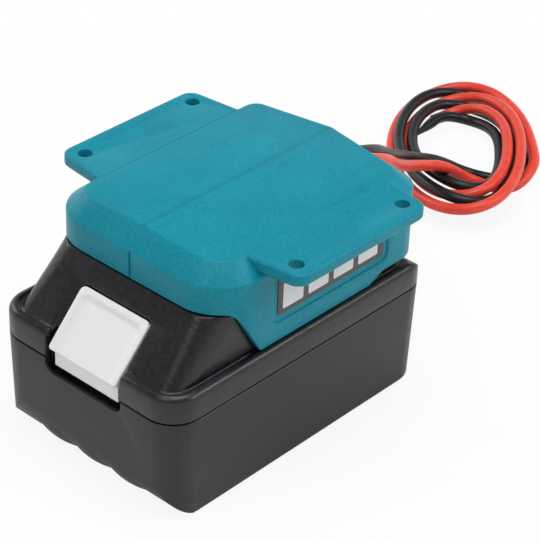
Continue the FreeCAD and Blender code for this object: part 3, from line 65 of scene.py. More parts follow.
camera = bpy.context.object
camera.name = "camera"
camera.rotation_euler = Matrix((right_rolled, up_rolled, back)).transposed().to_euler()
camera.data.sensor_width = 36
camera.data.lens = 145.8
camera.data.clip_start = 0.05
camera.data.clip_end = 10
bpy.context.scene.camera = camera
bpy.context.scene.view_settings.view_transform = "Standard"

# Studio: a white floor that runs out to white, and a white room seen only by the camera and in gloss.
# The object keeps a soft, faint shadow round its foot. Four softboxes light it from above, from both
# sides and from high in front.
floor_half = 3.0
white_near = 0.88
bpy.ops.mesh.primitive_plane_add(size=2 * floor_half, location=(0, 0.05, -0.0002))
floor = bpy.context.object
floor.name = "floor"
floor_paint = bpy.data.materials.new("floor_paint")
floor_paint.use_nodes = True
tree = floor_paint.node_tree
floor_shader = tree.nodes["Principled BSDF"]
floor_shader.inputs["Base Color"].default_value = (0.9, 0.9, 0.9, 1)
floor_shader.inputs["Roughness"].default_value = 0.9
floor_shader.inputs["Specular IOR Level"].default_value = 0.1
floor_output = tree.nodes["Material Output"]
floor_place = tree.nodes.new("ShaderNodeTexCoord")
floor_reach = tree.nodes.new("ShaderNodeVectorMath")
floor_reach.operation = "LENGTH"
floor_fade = tree.nodes.new("ShaderNodeMapRange")
floor_fade.inputs["From Min"].default_value = 0.07
floor_fade.inputs["From Max"].default_value = 0.24
floor_path = tree.nodes.new("ShaderNodeLightPath")
floor_shine = tree.nodes.new("ShaderNodeMath")
floor_shine.operation = "MULTIPLY"
floor_lift = tree.nodes.new("ShaderNodeMath")
floor_lift.operation = "MULTIPLY_ADD"
floor_lift.inputs[1].default_value = 1 - white_near
floor_lift.inputs[2].default_value = white_near
floor_seen = tree.nodes.new("ShaderNodeMix")
floor_glow = tree.nodes.new("ShaderNodeEmission")
floor_glow.inputs["Strength"].default_value = 1.0
floor_mix = tree.nodes.new("ShaderNodeMixShader")
tree.links.new(floor_place.outputs["Object"], floor_reach.inputs[0])
tree.links.new(floor_reach.outputs["Value"], floor_fade.inputs["Value"])
tree.links.new(floor_fade.outputs["Result"], floor_shine.inputs[0])
tree.links.new(floor_path.outputs["Is Glossy Ray"], floor_shine.inputs[1])
tree.links.new(floor_fade.outputs["Result"], floor_lift.inputs[0])
tree.links.new(floor_path.outputs["Is Camera Ray"], floor_seen.inputs[0])
tree.links.new(floor_shine.outputs["Value"], floor_seen.inputs[2])
tree.links.new(floor_lift.outputs["Value"], floor_seen.inputs[3])
tree.links.new(floor_seen.outputs[0], floor_mix.inputs["Fac"])
tree.links.new(floor_shader.outputs["BSDF"], floor_mix.inputs[1])
tree.links.new(floor_glow.outputs["Emission"], floor_mix.inputs[2])
tree.links.new(floor_mix.outputs["Shader"], floor_output.inputs["Surface"])
floor.data.materials.append(floor_paint)

world = bpy.data.worlds.new("studio_room")
bpy.context.scene.world = world
world.use_nodes = True
room = world.node_tree
room_light = room.nodes["Background"]
room_light.inputs["Color"].default_value = (1, 1, 1, 1)
room_light.inputs["Strength"].default_value = 0.3
room_way = room.nodes.new("ShaderNodeTexCoord")
room_split = room.nodes.new("ShaderNodeSeparateXYZ")
room_height = room.nodes.new("ShaderNodeMapRange")
room_height.inputs["From Min"].default_value = 0.12
room_height.inputs["From Max"].default_value = 0.5
room_height.inputs["To Min"].default_value = 1.0
room_height.inputs["To Max"].default_value = 0.26
room_gloss = room.nodes.new("ShaderNodeBackground")
room_gloss.inputs["Color"].default_value = (1, 1, 1, 1)
room_white = room.nodes.new("ShaderNodeBackground")
room_white.inputs["Color"].default_value = (1, 1, 1, 1)
room_white.inputs["Strength"].default_value = 1.0
room_path = room.nodes.new("ShaderNodeLightPath")
room_shine = room.nodes.new("ShaderNodeMixShader")
room_mix = room.nodes.new("ShaderNodeMixShader")
room.links.new(room_way.outputs["Generated"], room_split.inputs["Vector"])
room.links.new(room_split.outputs["Z"], room_height.inputs["Value"])
room.links.new(room_height.outputs["Result"], room_gloss.inputs["Strength"])
room.links.new(room_path.outputs["Is Glossy Ray"], room_shine.inputs["Fac"])
room.links.new(room_light.outputs["Background"], room_shine.inputs[1])
room.links.new(room_gloss.outputs["Background"], room_shine.inputs[2])
room.links.new(room_path.outputs["Is Camera Ray"], room_mix.inputs["Fac"])
room.links.new(room_shine.outputs["Shader"], room_mix.inputs[1])
room.links.new(room_white.outputs["Background"], room_mix.inputs[2])
room.links.new(room_mix.outputs["Shader"], room.nodes["World Output"].inputs["Surface"])


def softbox(name, place, aim, size, power):
    """A rectangular lamp at a place, turned to the point that it lights."""
    bpy.ops.object.light_add(type="AREA", location=place)
    lamp = bpy.context.object
    lamp.name = name
    lamp.data.shape = "RECTANGLE"
    lamp.data.size = size[0]
    lamp.data.size_y = size[1]
    lamp.data.energy = power
    lamp.rotation_euler = (Vector(aim) - Vector(place)).to_track_quat("-Z", "Y").to_euler()


softbox("softbox_above", (0.1, 0.05, 1.3), (0, 0.03, 0.05), (0.8, 0.8), 8.2)
softbox("softbox_right", (0.95, 0.75, 0.9), (0, 0.03, 0.06), (0.8, 0.35), 5.5)
softbox("softbox_left", (-1.25, -0.1, 0.7), (0, 0.0, 0.06), (0.7, 0.35), 3.5)
softbox("softbox_front", (0.05, -0.75, 1.15), (0, 0.0, 0.04), (0.5, 0.3), 1.9)

# Wires: stranded copper in soft silicone, 4 mm outside, one red and one black.
# They leave through the grommet, come down to the floor behind the object and lie there
# in a loose oval coil that winds inwards, a little over two turns each.
wire_radius = 0.002
wire_exit = Vector((0.0054, 0.0574, 0.066))
wire_spread = 0.0054
coil_turned = math.radians(41.5)
coil_across = Vector((math.cos(coil_turned), math.sin(coil_turned), 0))
coil_along = Vector((-coil_across.y, coil_across.x, 0))
coil_middle = Vector((-0.0396, 0.1716, 0.00205))
coil_half_width = 0.0275
coil_half_depth = 0.0506
strand_in_width = 0.0025
strand_in_depth = 0.0049
near_wider = 0.0031
near_deeper = 0.0083
near_shift = 0.0026
coil_lean = 0.0008
strand_rise = 0.00415
leads_rise = 0.0048


def coil_point(turns, place):
    """Centre line of one wire in the coil after so many turns, as an oval spiral that winds inwards.

    The red wire (place 0) lies on top at the right and the black one (place 1) at the left.
    Later turns bulge towards the near side and climb over the leads.
    """
    angle = 2 * math.pi * turns
    index = 2 * turns + place
    later = 1.0 if turns > 0.5 else 0.0
    near_side = later * max(0.0, -math.sin(angle)) ** 2
    half_width = coil_half_width - strand_in_width * index + near_wider * near_side
    half_depth = coil_half_depth - strand_in_depth * index + near_deeper * near_side
    over_leads = min(1.0, max(0.0, 0.5 + 0.82 * math.cos(angle + math.pi / 4)))
    right_side = min(1.0, max(-1.0, 2 * math.cos(angle)))
    level = strand_rise * (1 + (1 - 2 * place) * right_side) / 2
    across = half_width * math.cos(angle) + coil_lean * math.sin(angle) + near_shift * near_side
    along = half_depth * math.sin(angle)
    lift = Vector((0, 0, level + later * leads_rise * over_leads))
    return coil_middle + coil_across * across + coil_along * along + lift


def coil_way(turns, place):
    """The level direction in which a wire runs at that point of the coil."""
    way = coil_point(turns + 0.002, place) - coil_point(max(turns - 0.002, 0), place)
    way.z = 0
    return way.normalized()


def silicone(name, colour, deep, roughness):
    """Soft cable silicone: faint mottling, a fine skin and a satin sheen."""
    paint = bpy.data.materials.new(name)
    paint.use_nodes = True
    tree = paint.node_tree
    shader = tree.nodes["Principled BSDF"]
    shader.inputs["Specular IOR Level"].default_value = 0.42
    place = tree.nodes.new("ShaderNodeTexCoord")
    mottle = tree.nodes.new("ShaderNodeTexNoise")
    mottle.inputs["Scale"].default_value = 260
    mottle.inputs["Detail"].default_value = 3
    tone = tree.nodes.new("ShaderNodeValToRGB")
    tone.color_ramp.elements[0].position = 0.35
    tone.color_ramp.elements[0].color = (*deep, 1)
    tone.color_ramp.elements[1].position = 0.68
    tone.color_ramp.elements[1].color = (*colour, 1)
    skin = tree.nodes.new("ShaderNodeTexNoise")
    skin.inputs["Scale"].default_value = 1500
    skin.inputs["Detail"].default_value = 2
    rough = tree.nodes.new("ShaderNodeMapRange")
    rough.inputs["To Min"].default_value = roughness - 0.05
    rough.inputs["To Max"].default_value = roughness + 0.07
    bump = tree.nodes.new("ShaderNodeBump")
    bump.inputs["Strength"].default_value = 0.35
    bump.inputs["Distance"].default_value = 0.00006
    tree.links.new(place.outputs["Object"], mottle.inputs["Vector"])
    tree.links.new(place.outputs["Object"], skin.inputs["Vector"])
    tree.links.new(mottle.outputs["Fac"], tone.inputs["Fac"])
    tree.links.new(tone.outputs["Color"], shader.inputs["Base Color"])
    tree.links.new(mottle.outputs["Fac"], rough.inputs["Value"])
    tree.links.new(rough.outputs["Result"], shader.inputs["Roughness"])
    tree.links.new(skin.outputs["Fac"], bump.inputs["Height"])
    tree.links.new(bump.outputs["Normal"], shader.inputs["Normal"])
    return paint


def wire(name, points, radii, paint):
    """A round wire on one smooth line through its control points."""
    line = bpy.data.curves.new(name, "CURVE")
    line.dimensions = "3D"
    line.bevel_depth = wire_radius
    line.bevel_resolution = 7
    line.use_fill_caps = True
    spline = line.splines.new("NURBS")
    spline.points.add(len(points) - 1)
    for knot, point, radius in zip(spline.points, points, radii):
        knot.co = (*point, 1)
        knot.radius = radius
    spline.order_u = 3
    spline.use_endpoint_u = True
    spline.resolution_u = 6
    spline.use_smooth = True
    piece = bpy.data.objects.new(name, line)
    bpy.context.scene.collection.objects.link(piece)
    line.materials.append(paint)
    return piece


def wire_points(leaves, route, turns, place):
    """Control points from the grommet along the lead, round the coil and straight on at the end."""
    straight = 0.004
    run_in = 0.011
    start = coil_point(0, place) - coil_way(0, place) * straight
    points = [leaves] + route + [start - coil_way(0, place) * run_in]
    points += [coil_point(step / turn_points, place) for step in range(int(turns * turn_points) + 1)]
    return points + [coil_point(turns, place), coil_point(turns, place) + coil_way(turns, place) * straight]


red_silicone = silicone("red_silicone", (0.88, 0.075, 0.038), (0.80, 0.058, 0.03), 0.34)
black_silicone = silicone("black_silicone", (0.007, 0.007, 0.009), (0.004, 0.004, 0.006), 0.36)
turn_points = 20
red_turns = 2.31
black_turns = 2.36

# The red wire: its end is cut square.
red_route = [Vector(point) / 1000 for point in (
    (7.8, 68.7, 61.2), (-0.8, 83.2, 50), (-12, 102, 36.8), (-22.5, 120.5, 24.8),
    (-26.8, 132.8, 18), (-25, 144, 14.2), (-21.2, 156.2, 4.2), (-8, 163.5, 2.1))]
red_exit = wire_exit + Vector((wire_spread / 2, 0, 0))
red_points = wire_points(red_exit, red_route, red_turns, 0)
red_wire = wire("red_wire", red_points, [1.0] * len(red_points), red_silicone)
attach(red_wire, "adapter")
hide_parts("red_wire_lead", "red_wire_coil")

# The black wire: its end tapers to a point.
black_route = [Vector(point) / 1000 for point in (
    (2.7, 68.6, 62.8), (-5, 83.8, 52), (-17, 103, 38.4), (-29.5, 123, 25),
    (-34, 137, 16.6), (-31, 148, 12.3), (-26.3, 160, 3.6), (-15, 167.5, 2.1))]
black_exit = wire_exit - Vector((wire_spread / 2, 0, 0))
black_points = wire_points(black_exit, black_route, black_turns, 1)
black_radii = [1.0] * len(black_points)
black_end = black_points[-1]
for reach, radius in ((0.004, 0.75), (0.008, 0.45), (0.011, 0.3)):
    black_points.append(black_end + coil_way(black_turns, 1) * reach)
    black_radii.append(radius)
black_wire = wire("black_wire", black_points, black_radii, black_silicone)
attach(black_wire, "adapter")
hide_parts("black_wire_lead", "black_wire_coil")

# The wires' ends inside the adapter, soldered to the blades, in the same silicone.
for name, paint in (("red_wire_inside", red_silicone), ("black_wire_inside", black_silicone)):
    nodes[name].data.materials.clear()
    nodes[name].data.materials.append(paint)

# Adapter housing: one moulding of glass-filled nylon in teal, with two mounting ears and rails below,
# which slide on the battery's tower. Its outside has a fine spark-eroded grain, and the roof has a faint
# painted shade along the crease of its ridge.


def moulded(name, colour, deep, grain, depth, roughness, gloss=0.5):
    """Moulded plastic: colour that drifts a little, a grain of the given scale and depth, uneven sheen."""
    paint = bpy.data.materials.new(name)
    paint.use_nodes = True
    tree = paint.node_tree
    shader = tree.nodes["Principled BSDF"]
    shader.inputs["Specular IOR Level"].default_value = gloss
    place = tree.nodes.new("ShaderNodeTexCoord")
    drift = tree.nodes.new("ShaderNodeTexNoise")
    drift.inputs["Scale"].default_value = 45
    drift.inputs["Detail"].default_value = 2
    pores = tree.nodes.new("ShaderNodeTexNoise")
    pores.inputs["Scale"].default_value = grain
    pores.inputs["Detail"].default_value = 3
    pores.inputs["Roughness"].default_value = 0.62
    blend = tree.nodes.new("ShaderNodeMath")
    blend.operation = "MULTIPLY_ADD"
    blend.inputs[1].default_value = 0.3
    spread = tree.nodes.new("ShaderNodeMath")
    spread.operation = "MULTIPLY"
    spread.inputs[1].default_value = 0.7
    tone = tree.nodes.new("ShaderNodeValToRGB")
    tone.name = "tone"
    tone.color_ramp.elements[0].position = 0.36
    tone.color_ramp.elements[0].color = (*deep, 1)
    tone.color_ramp.elements[1].position = 0.64
    tone.color_ramp.elements[1].color = (*colour, 1)
    sheen = tree.nodes.new("ShaderNodeMapRange")
    sheen.inputs["To Min"].default_value = roughness - 0.08
    sheen.inputs["To Max"].default_value = roughness + 0.08
    bump = tree.nodes.new("ShaderNodeBump")
    bump.inputs["Strength"].default_value = 0.6
    bump.inputs["Distance"].default_value = depth
    tree.links.new(place.outputs["Object"], drift.inputs["Vector"])
    tree.links.new(place.outputs["Object"], pores.inputs["Vector"])
    tree.links.new(pores.outputs["Fac"], spread.inputs[0])
    tree.links.new(drift.outputs["Fac"], blend.inputs[0])
    tree.links.new(spread.outputs["Value"], blend.inputs[2])
    tree.links.new(blend.outputs["Value"], tone.inputs["Fac"])
    tree.links.new(tone.outputs["Color"], shader.inputs["Base Color"])
    tree.links.new(pores.outputs["Fac"], sheen.inputs["Value"])
    tree.links.new(sheen.outputs["Result"], shader.inputs["Roughness"])
    tree.links.new(pores.outputs["Fac"], bump.inputs["Height"])
    tree.links.new(bump.outputs["Normal"], shader.inputs["Normal"])
    return paint


def scored(paint, axis, middle, half, soft, shade, low=None, high=None):
    """Darkens a thin line where the axis is near middle, between two heights if they are given."""
    tree = paint.node_tree
    shader = tree.nodes["Principled BSDF"]
    before = shader.inputs["Base Color"].links[0].from_socket
    place = tree.nodes.new("ShaderNodeTexCoord")
    split = tree.nodes.new("ShaderNodeSeparateXYZ")
    away = tree.nodes.new("ShaderNodeMath")
    away.operation = "SUBTRACT"
    away.inputs[1].default_value = middle
    distance = tree.nodes.new("ShaderNodeMath")
    distance.operation = "ABSOLUTE"
    line = tree.nodes.new("ShaderNodeMapRange")
    line.inputs["From Min"].default_value = half
    line.inputs["From Max"].default_value = half + soft
    line.inputs["To Min"].default_value = 1.0
    line.inputs["To Max"].default_value = 0.0
    darker = tree.nodes.new("ShaderNodeMix")
    darker.data_type = "RGBA"
    darker.blend_type = "MULTIPLY"
    darker.inputs[7].default_value = (shade, shade, shade, 1)
    tree.links.new(place.outputs["Object"], split.inputs["Vector"])
    tree.links.new(split.outputs[axis], away.inputs[0])
    tree.links.new(away.outputs["Value"], distance.inputs[0])
    tree.links.new(distance.outputs["Value"], line.inputs["Value"])
    amount = line.outputs["Result"]
    for limit, compare in ((low, "GREATER_THAN"), (high, "LESS_THAN")):
        if limit is not None:
            test = tree.nodes.new("ShaderNodeMath")
            test.operation = compare
            test.inputs[1].default_value = limit
            both = tree.nodes.new("ShaderNodeMath")
            both.operation = "MULTIPLY"
            tree.links.new(split.outputs["Z"], test.inputs[0])
            tree.links.new(amount, both.inputs[0])
            tree.links.new(test.outputs["Value"], both.inputs[1])
            amount = both.outputs["Value"]
    tree.links.new(amount, darker.inputs[0])
    tree.links.new(before, darker.inputs[6])
    tree.links.new(darker.outputs[2], shader.inputs["Base Color"])


def moulding(name, node_name, round_edge, sharp, smooth, body, paint, left_sharp=()):
    """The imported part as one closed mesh, its sharp edges rounded as a mould leaves them.

    Edges round the places in left_sharp, each a point and a reach, stay as they are.
    """
    piece = bpy.data.objects.new(name, nodes[node_name].data.copy())
    bpy.context.scene.collection.objects.link(piece)
    piece.data.materials.clear()
    piece.data.materials.append(paint)
    bpy.ops.object.select_all(action="DESELECT")
    piece.select_set(True)
    bpy.context.view_layer.objects.active = piece
    bpy.ops.mesh.customdata_custom_splitnormals_clear()
    bpy.ops.object.mode_set(mode="EDIT")
    bpy.ops.mesh.select_mode(type="EDGE")
    bpy.ops.mesh.select_all(action="SELECT")
    bpy.ops.mesh.remove_doubles(threshold=0.000004)
    bpy.ops.mesh.dissolve_limited(angle_limit=math.radians(0.6))
    bpy.ops.mesh.select_all(action="DESELECT")
    bpy.ops.mesh.edges_select_sharp(sharpness=math.radians(sharp))
    bpy.ops.object.mode_set(mode="OBJECT")
    corners = piece.data.vertices
    for edge in piece.data.edges:
        start, end = (corners[count].co for count in edge.vertices)
        for place, reach in left_sharp:
            if min((start - place).length, (end - place).length) < reach:
                edge.select = False
    bpy.ops.object.mode_set(mode="EDIT")
    bpy.ops.mesh.bevel(offset=round_edge, segments=3, affect="EDGES", clamp_overlap=False)
    bpy.ops.object.mode_set(mode="OBJECT")
    bpy.ops.object.shade_smooth_by_angle(angle=math.radians(smooth))
    piece.select_set(False)
    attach(piece, body)
    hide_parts(node_name)


# The knee of each side wall has an edge so flat that a rounding there would run out into a spike.
knee_reach = 0.0008
knee_right = Vector((0.0336, -0.0303, 0.0610))
knee_left = Vector((-0.0336, -0.0303, 0.0610))
teal = moulded("teal_nylon", (0.003, 0.315, 0.412), (0.001, 0.208, 0.286), 1500, 0.00009, 0.42, 0.24)
# Painted shade along the roof's ridge crease: a soft dark band with a finer line in it, only at the ridge's
# height.
ridge_low = 0.0764
scored(teal, "X", 0.0, 0.0003, 0.0012, 0.87, low=ridge_low)
scored(teal, "X", 0.0, 0.0001, 0.0003, 0.92, low=ridge_low)
moulding("housing_moulding", "adapter_housing", 0.00035, 28, 30, "adapter", teal,
         left_sharp=((knee_right, knee_reach), (knee_left, knee_reach)))

# Sticker: dark printed film in the housing's right-hand recess, stuck on, with four white fields left bare.
# The fields are a second, very thin layer of print with rounded corners, and lie flat on the film.
film = moulded("label_film", (0.080, 0.066, 0.066), (0.060, 0.050, 0.050), 900, 0.00002, 0.4)
nodes["rating_label"].data.materials.clear()
nodes["rating_label"].data.materials.append(film)
print_white = moulded("label_white", (0.80, 0.80, 0.80), (0.74, 0.74, 0.745), 700, 0.00001, 0.45)
field_side = 0.0088
field_pitch = 0.0111
field_thick = 0.00006
fields_middle = Vector((0.03548, 0.0107, 0.0593))
bpy.ops.object.select_all(action="DESELECT")
bpy.ops.mesh.primitive_cube_add(size=1, location=fields_middle - Vector((0, 1.5 * field_pitch, 0)))
fields = bpy.context.object
fields.name = "label_fields"
fields.scale = (field_thick, field_side, field_side)
bpy.ops.object.transform_apply(location=True, rotation=False, scale=True)
repeat = fields.modifiers.new("four_fields", "ARRAY")
repeat.count = 4
repeat.use_relative_offset = False
repeat.use_constant_offset = True
repeat.constant_offset_displace = (0, field_pitch, 0)
bpy.ops.object.mode_set(mode="EDIT")
bpy.ops.mesh.select_all(action="DESELECT")
bpy.ops.object.mode_set(mode="OBJECT")
for edge in fields.data.edges:
    start, end = (fields.data.vertices[count].co for count in edge.vertices)
    edge.select = abs(start.y - end.y) < 1e-6 and abs(start.z - end.z) < 1e-6
bpy.ops.object.mode_set(mode="EDIT")
bpy.ops.mesh.select_mode(type="EDGE")
bpy.ops.mesh.bevel(offset=0.0006, segments=4, affect="EDGES")
bpy.ops.object.mode_set(mode="OBJECT")
bpy.ops.object.modifier_apply(modifier="four_fields")
fields.data.materials.append(print_white)
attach(fields, "adapter")

# Wire grommet: a moulded plug of black rubber with one bore for each wire.
# It is pressed into the housing's back wall and keeps the wires off the edge.
rubber = moulded("black_rubber", (0.026, 0.026, 0.027), (0.016, 0.016, 0.017), 700, 0.00004, 0.6, 0.35)
moulding("grommet_moulding", "wire_grommet", 0.0004, 30, 35, "adapter", rubber)

# Terminal block inside the adapter: black phenolic, moulded, held under four posts by zinc-plated screws.
# Its two blades are stamped from rolled brass and take the battery's clips.
bakelite = moulded("black_phenolic", (0.048, 0.044, 0.042), (0.028, 0.026, 0.025), 500, 0.00004, 0.45)


def metal(name, colour, deep, streaks, roughness):
    """Bare metal with fine drawn streaks and a slightly uneven polish."""
    paint = bpy.data.materials.new(name)
    paint.use_nodes = True
    tree = paint.node_tree
    shader = tree.nodes["Principled BSDF"]
    shader.inputs["Metallic"].default_value = 1.0
    place = tree.nodes.new("ShaderNodeTexCoord")
    stretch = tree.nodes.new("ShaderNodeMapping")
    stretch.inputs["Scale"].default_value = streaks
    grain = tree.nodes.new("ShaderNodeTexNoise")
    grain.inputs["Scale"].default_value = 300
    grain.inputs["Detail"].default_value = 4
    tone = tree.nodes.new("ShaderNodeValToRGB")
    tone.color_ramp.elements[0].position = 0.3
    tone.color_ramp.elements[0].color = (*deep, 1)
    tone.color_ramp.elements[1].position = 0.7
    tone.color_ramp.elements[1].color = (*colour, 1)
    rough = tree.nodes.new("ShaderNodeMapRange")
    rough.inputs["To Min"].default_value = roughness - 0.08
    rough.inputs["To Max"].default_value = roughness + 0.1
    tree.links.new(place.outputs["Object"], stretch.inputs["Vector"])
    tree.links.new(stretch.outputs["Vector"], grain.inputs["Vector"])
    tree.links.new(grain.outputs["Fac"], tone.inputs["Fac"])
    tree.links.new(tone.outputs["Color"], shader.inputs["Base Color"])
    tree.links.new(grain.outputs["Fac"], rough.inputs["Value"])
    tree.links.new(rough.outputs["Result"], shader.inputs["Roughness"])
    return paint


def dress(paint, *names):
    """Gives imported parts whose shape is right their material."""
    for name in names:
        nodes[name].data.materials.clear()
        nodes[name].data.materials.append(paint)


brass = metal("rolled_brass", (0.78, 0.56, 0.24), (0.58, 0.40, 0.16), (1, 12, 1), 0.3)
zinc = metal("zinc_plate", (0.56, 0.57, 0.60), (0.36, 0.37, 0.40), (1, 1, 1), 0.34)
dress(bakelite, "terminal_block")
dress(brass, "positive_blade", "negative_blade")
dress(zinc, "block_screws", "case_screws")

# Upper case of the battery: near-black nylon, moulded with rim, tower and button slot, screwed on from
# below. Its coarse grain catches the light on the edges. The rim's right side shows the joint of an insert.
black_nylon = moulded("black_nylon", (0.013, 0.0125, 0.016), (0.005, 0.0045, 0.006), 620, 0.00016, 0.32, 0.5)
scored(black_nylon, "Y", -0.0176, 0.00008, 0.00006, 0.3, low=0.0372, high=0.0418)
moulding("upper_moulding", "battery_upper_case", 0.00045, 28, 30, "battery", black_nylon)

# Lower case of the battery: charcoal nylon, moulded, with a finer, satin grain and finger lobes under
# the front edge. It stands on the floor and holds the cells.
charcoal = moulded("charcoal_nylon", (0.014, 0.013, 0.016), (0.010, 0.0095, 0.011), 1300, 0.00004, 0.36, 0.5)
moulding("lower_moulding", "battery_lower_case", 0.00035, 28, 30, "battery", charcoal)

# Release button: a moulding of white acetal with a shallow thumb dish, which slides down the tower's slope.
# The dish has soft sides and runs out over the lower edge; the plate's corners are rounded.
# The plate is made here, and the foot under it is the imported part's.
acetal = moulded("white_acetal", (0.955, 0.955, 0.965), (0.94, 0.94, 0.95), 900, 0.00002, 0.38)
slope = math.radians(47)
slope_up = Vector((0, math.cos(slope), math.sin(slope)))
slope_in = Vector((0, math.sin(slope), -math.cos(slope)))
plate_length = 0.0212
plate_width = 0.028
plate_deep = 0.0022
plate_overlap = 0.0001
plate_foot = Vector((0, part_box("release_button")[0][1], 0.0398))
plate_middle = plate_foot + slope_up * (plate_length / 2)
plate_edge = 0.00035
top_round = 0.002
foot_round = 0.0013
dish_deep = 0.001
dish_side = 0.0021
dish_half_width = 0.0127
dish_top = 0.0091
dish_round = 0.0028


def dish(across, along):
    """Depth of the thumb dish at a place from the plate's middle: soft sides, open at the lower edge."""
    from_side = dish_half_width - abs(across)
    from_top = dish_top - along
    inside = min(from_side, from_top)
    if from_side < dish_round and from_top < dish_round:
        inside = dish_round - math.hypot(dish_round - from_side, dish_round - from_top)
    share = min(1.0, max(0.0, inside / dish_side))
    return dish_deep * share * share * (3 - 2 * share)


def plate_point(across, along, reach, depth):
    """A point of the plate at a place from its middle, with its corners drawn in to their rounding.

    Beside the plate's edge, reach says how far outside the outline it goes; None leaves it as it lies.
    """
    corner_round = top_round if along > 0 else foot_round
    straight_across = plate_width / 2 - corner_round
    straight_along = plate_length / 2 - corner_round
    side = max(0.0, abs(across) - straight_across)
    end = max(0.0, abs(along) - straight_along)
    if side > 0 or end > 0:
        far = reach + corner_round if reach is not None else max(side, end)
        pull = far / math.hypot(side, end)
        across = math.copysign(min(abs(across), straight_across) + side * pull, across)
        along = math.copysign(min(abs(along), straight_along) + end * pull, along)
    return plate_middle + Vector((across, 0, 0)) + slope_up * along + slope_in * depth


bpy.ops.object.select_all(action="DESELECT")
bpy.ops.mesh.primitive_grid_add(x_subdivisions=70, y_subdivisions=54, size=1)
plate = bpy.context.object
for corner in plate.data.vertices:
    across = corner.co.x * (plate_width - 2 * plate_edge)
    along = corner.co.y * (plate_length - 2 * plate_edge)
    corner.co = plate_point(across, along, None, dish(across, along))
bpy.ops.object.mode_set(mode="EDIT")
bpy.ops.mesh.select_mode(type="EDGE")
bpy.ops.mesh.select_all(action="DESELECT")
bpy.ops.mesh.select_non_manifold()
# The plate's edge: three steps of a quarter round, then straight down to a flat underside.
lowered = 0.0
for turn in (30, 60, 90):
    bpy.ops.mesh.extrude_region_move()
    bpy.ops.object.mode_set(mode="OBJECT")
    lower = plate_edge * (1 - math.cos(math.radians(turn)))
    reach = plate_edge * (math.sin(math.radians(turn)) - 1)
    for corner in plate.data.vertices:
        if corner.select:
            place = corner.co - plate_middle
            depth = place.dot(slope_in) + lower - lowered
            corner.co = plate_point(place.x, place.dot(slope_up), reach, depth)
    lowered = lower
    bpy.ops.object.mode_set(mode="EDIT")
bpy.ops.mesh.extrude_region_move()
bpy.ops.object.mode_set(mode="OBJECT")
for corner in plate.data.vertices:
    if corner.select:
        corner.co += slope_in * (plate_deep + plate_overlap - (corner.co - plate_middle).dot(slope_in))
bpy.ops.object.mode_set(mode="EDIT")
bpy.ops.mesh.edge_face_add()
bpy.ops.mesh.select_all(action="SELECT")
bpy.ops.mesh.normals_make_consistent(inside=False)
bpy.ops.object.mode_set(mode="OBJECT")

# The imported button, cut off just inside the plate's underside and joined to the plate.
button = bpy.data.objects.new("button_moulding", nodes["release_button"].data.copy())
bpy.context.scene.collection.objects.link(button)
bpy.ops.object.select_all(action="DESELECT")
button.select_set(True)
bpy.context.view_layer.objects.active = button
bpy.ops.mesh.customdata_custom_splitnormals_clear()
bpy.ops.object.mode_set(mode="EDIT")
bpy.ops.mesh.select_all(action="SELECT")
bpy.ops.mesh.remove_doubles(threshold=0.000004)
bpy.ops.mesh.bisect(plane_co=plate_foot + slope_in * (plate_deep + plate_overlap / 2),
                    plane_no=slope_in, use_fill=True, clear_inner=True, clear_outer=False,
                    threshold=0.000001)
bpy.ops.object.mode_set(mode="OBJECT")
plate.select_set(True)
bpy.ops.object.join()
button.data.materials.clear()
button.data.materials.append(acetal)
bpy.ops.object.shade_smooth_by_angle(angle=math.radians(35))
button.select_set(False)
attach(button, "latch")
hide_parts("release_button")

# Latch hook: black acetal, moulded, behind the button's plate and moving with it.
# Its tongue stands up through the tower's top and stops the adapter.
hook_acetal = moulded("black_acetal", (0.030, 0.030, 0.032), (0.018, 0.018, 0.020), 800, 0.00003, 0.4)
dress(hook_acetal, "latch_hook")
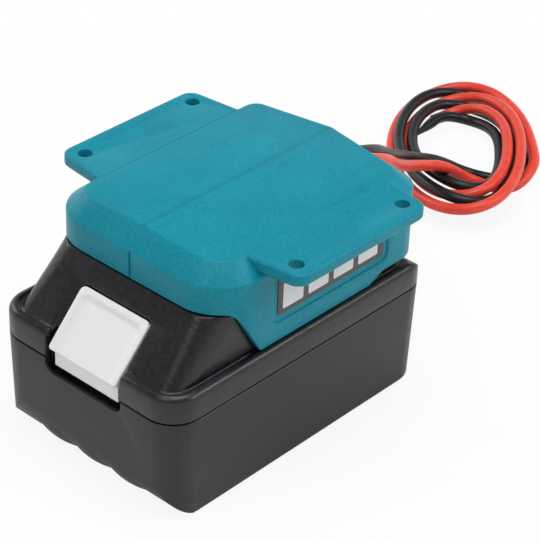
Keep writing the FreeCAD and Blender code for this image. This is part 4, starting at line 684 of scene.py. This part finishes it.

# Latch springs: two wound springs of steel wire between the well's floor and the underside
# of the button's plate.
spring_wire = metal("spring_wire", (0.10, 0.10, 0.11), (0.05, 0.05, 0.055), (1, 1, 14), 0.45)
spring_low, spring_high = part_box("latch_springs")
spring_thick = 0.0003
spring_outer = (spring_high.y - spring_low.y) / 2
spring_winds = spring_outer - spring_thick
spring_apart = spring_high.x - spring_outer
spring_setback = (spring_low.y + spring_high.y) / 2
spring_top = spring_high.z - 0.0014
spring_turns = 8
spring_steps = 16
spring_line = bpy.data.curves.new("latch_spring_coils", "CURVE")
spring_line.dimensions = "3D"
spring_line.bevel_depth = spring_thick
spring_line.bevel_resolution = 2
spring_line.use_fill_caps = True
for side in (-1, 1):
    winding = spring_line.splines.new("NURBS")
    winding.points.add(spring_turns * spring_steps)
    for count, knot in enumerate(winding.points):
        angle = 2 * math.pi * count / spring_steps
        rise = count / (spring_turns * spring_steps)
        knot.co = (side * spring_apart + spring_winds * math.cos(angle),
                   spring_setback + spring_winds * math.sin(angle),
                   spring_low.z + spring_thick + (spring_top - spring_low.z - 2 * spring_thick) * rise, 1)
    winding.order_u = 3
    winding.use_endpoint_u = True
    winding.resolution_u = 2
latch_coils = bpy.data.objects.new("latch_spring_coils", spring_line)
bpy.context.scene.collection.objects.link(latch_coils)
bpy.ops.object.select_all(action="DESELECT")
latch_coils.select_set(True)
bpy.context.view_layer.objects.active = latch_coils
bpy.ops.object.convert(target="MESH")
latch_coils.select_set(False)
latch_coils.data.materials.clear()
latch_coils.data.materials.append(spring_wire)
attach(latch_coils, "battery")
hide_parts("latch_springs")
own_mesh(latch_coils)

# Cells: ten lithium cells in blue shrink sleeves, pushed into the bores of two black moulded frames
# and joined by links of nickel strip, which are welded to their ends.
sleeve = moulded("cell_sleeve", (0.045, 0.20, 0.34), (0.03, 0.15, 0.27), 400, 0.00002, 0.3)
frame_black = moulded("holder_black", (0.05, 0.05, 0.052), (0.03, 0.03, 0.032), 700, 0.00005, 0.5)
nickel = metal("nickel_strip", (0.70, 0.67, 0.62), (0.52, 0.50, 0.46), (1, 9, 1), 0.28)
dress(sleeve, "battery_cells")
dress(frame_black, "cell_holder_left", "cell_holder_right")
dress(nickel, "cell_links")

# Over the cells: a card sheet lies on the frames and the green control board on it.
# Two clips of tinned copper and the signal socket are soldered to the board.
card = moulded("fish_paper", (0.62, 0.58, 0.44), (0.50, 0.46, 0.34), 260, 0.00003, 0.7, 0.3)
board_green = moulded("solder_mask", (0.022, 0.15, 0.07), (0.012, 0.10, 0.045), 350, 0.00002, 0.3)
tinned = metal("tinned_copper", (0.74, 0.60, 0.46), (0.56, 0.42, 0.30), (1, 1, 10), 0.3)
socket_nylon = moulded("socket_nylon", (0.040, 0.040, 0.042), (0.025, 0.025, 0.027), 600, 0.00003, 0.42)
dress(card, "insulating_sheet")
dress(board_green, "control_board")
dress(tinned, "positive_clip", "negative_clip")
dress(socket_nylon, "signal_socket")
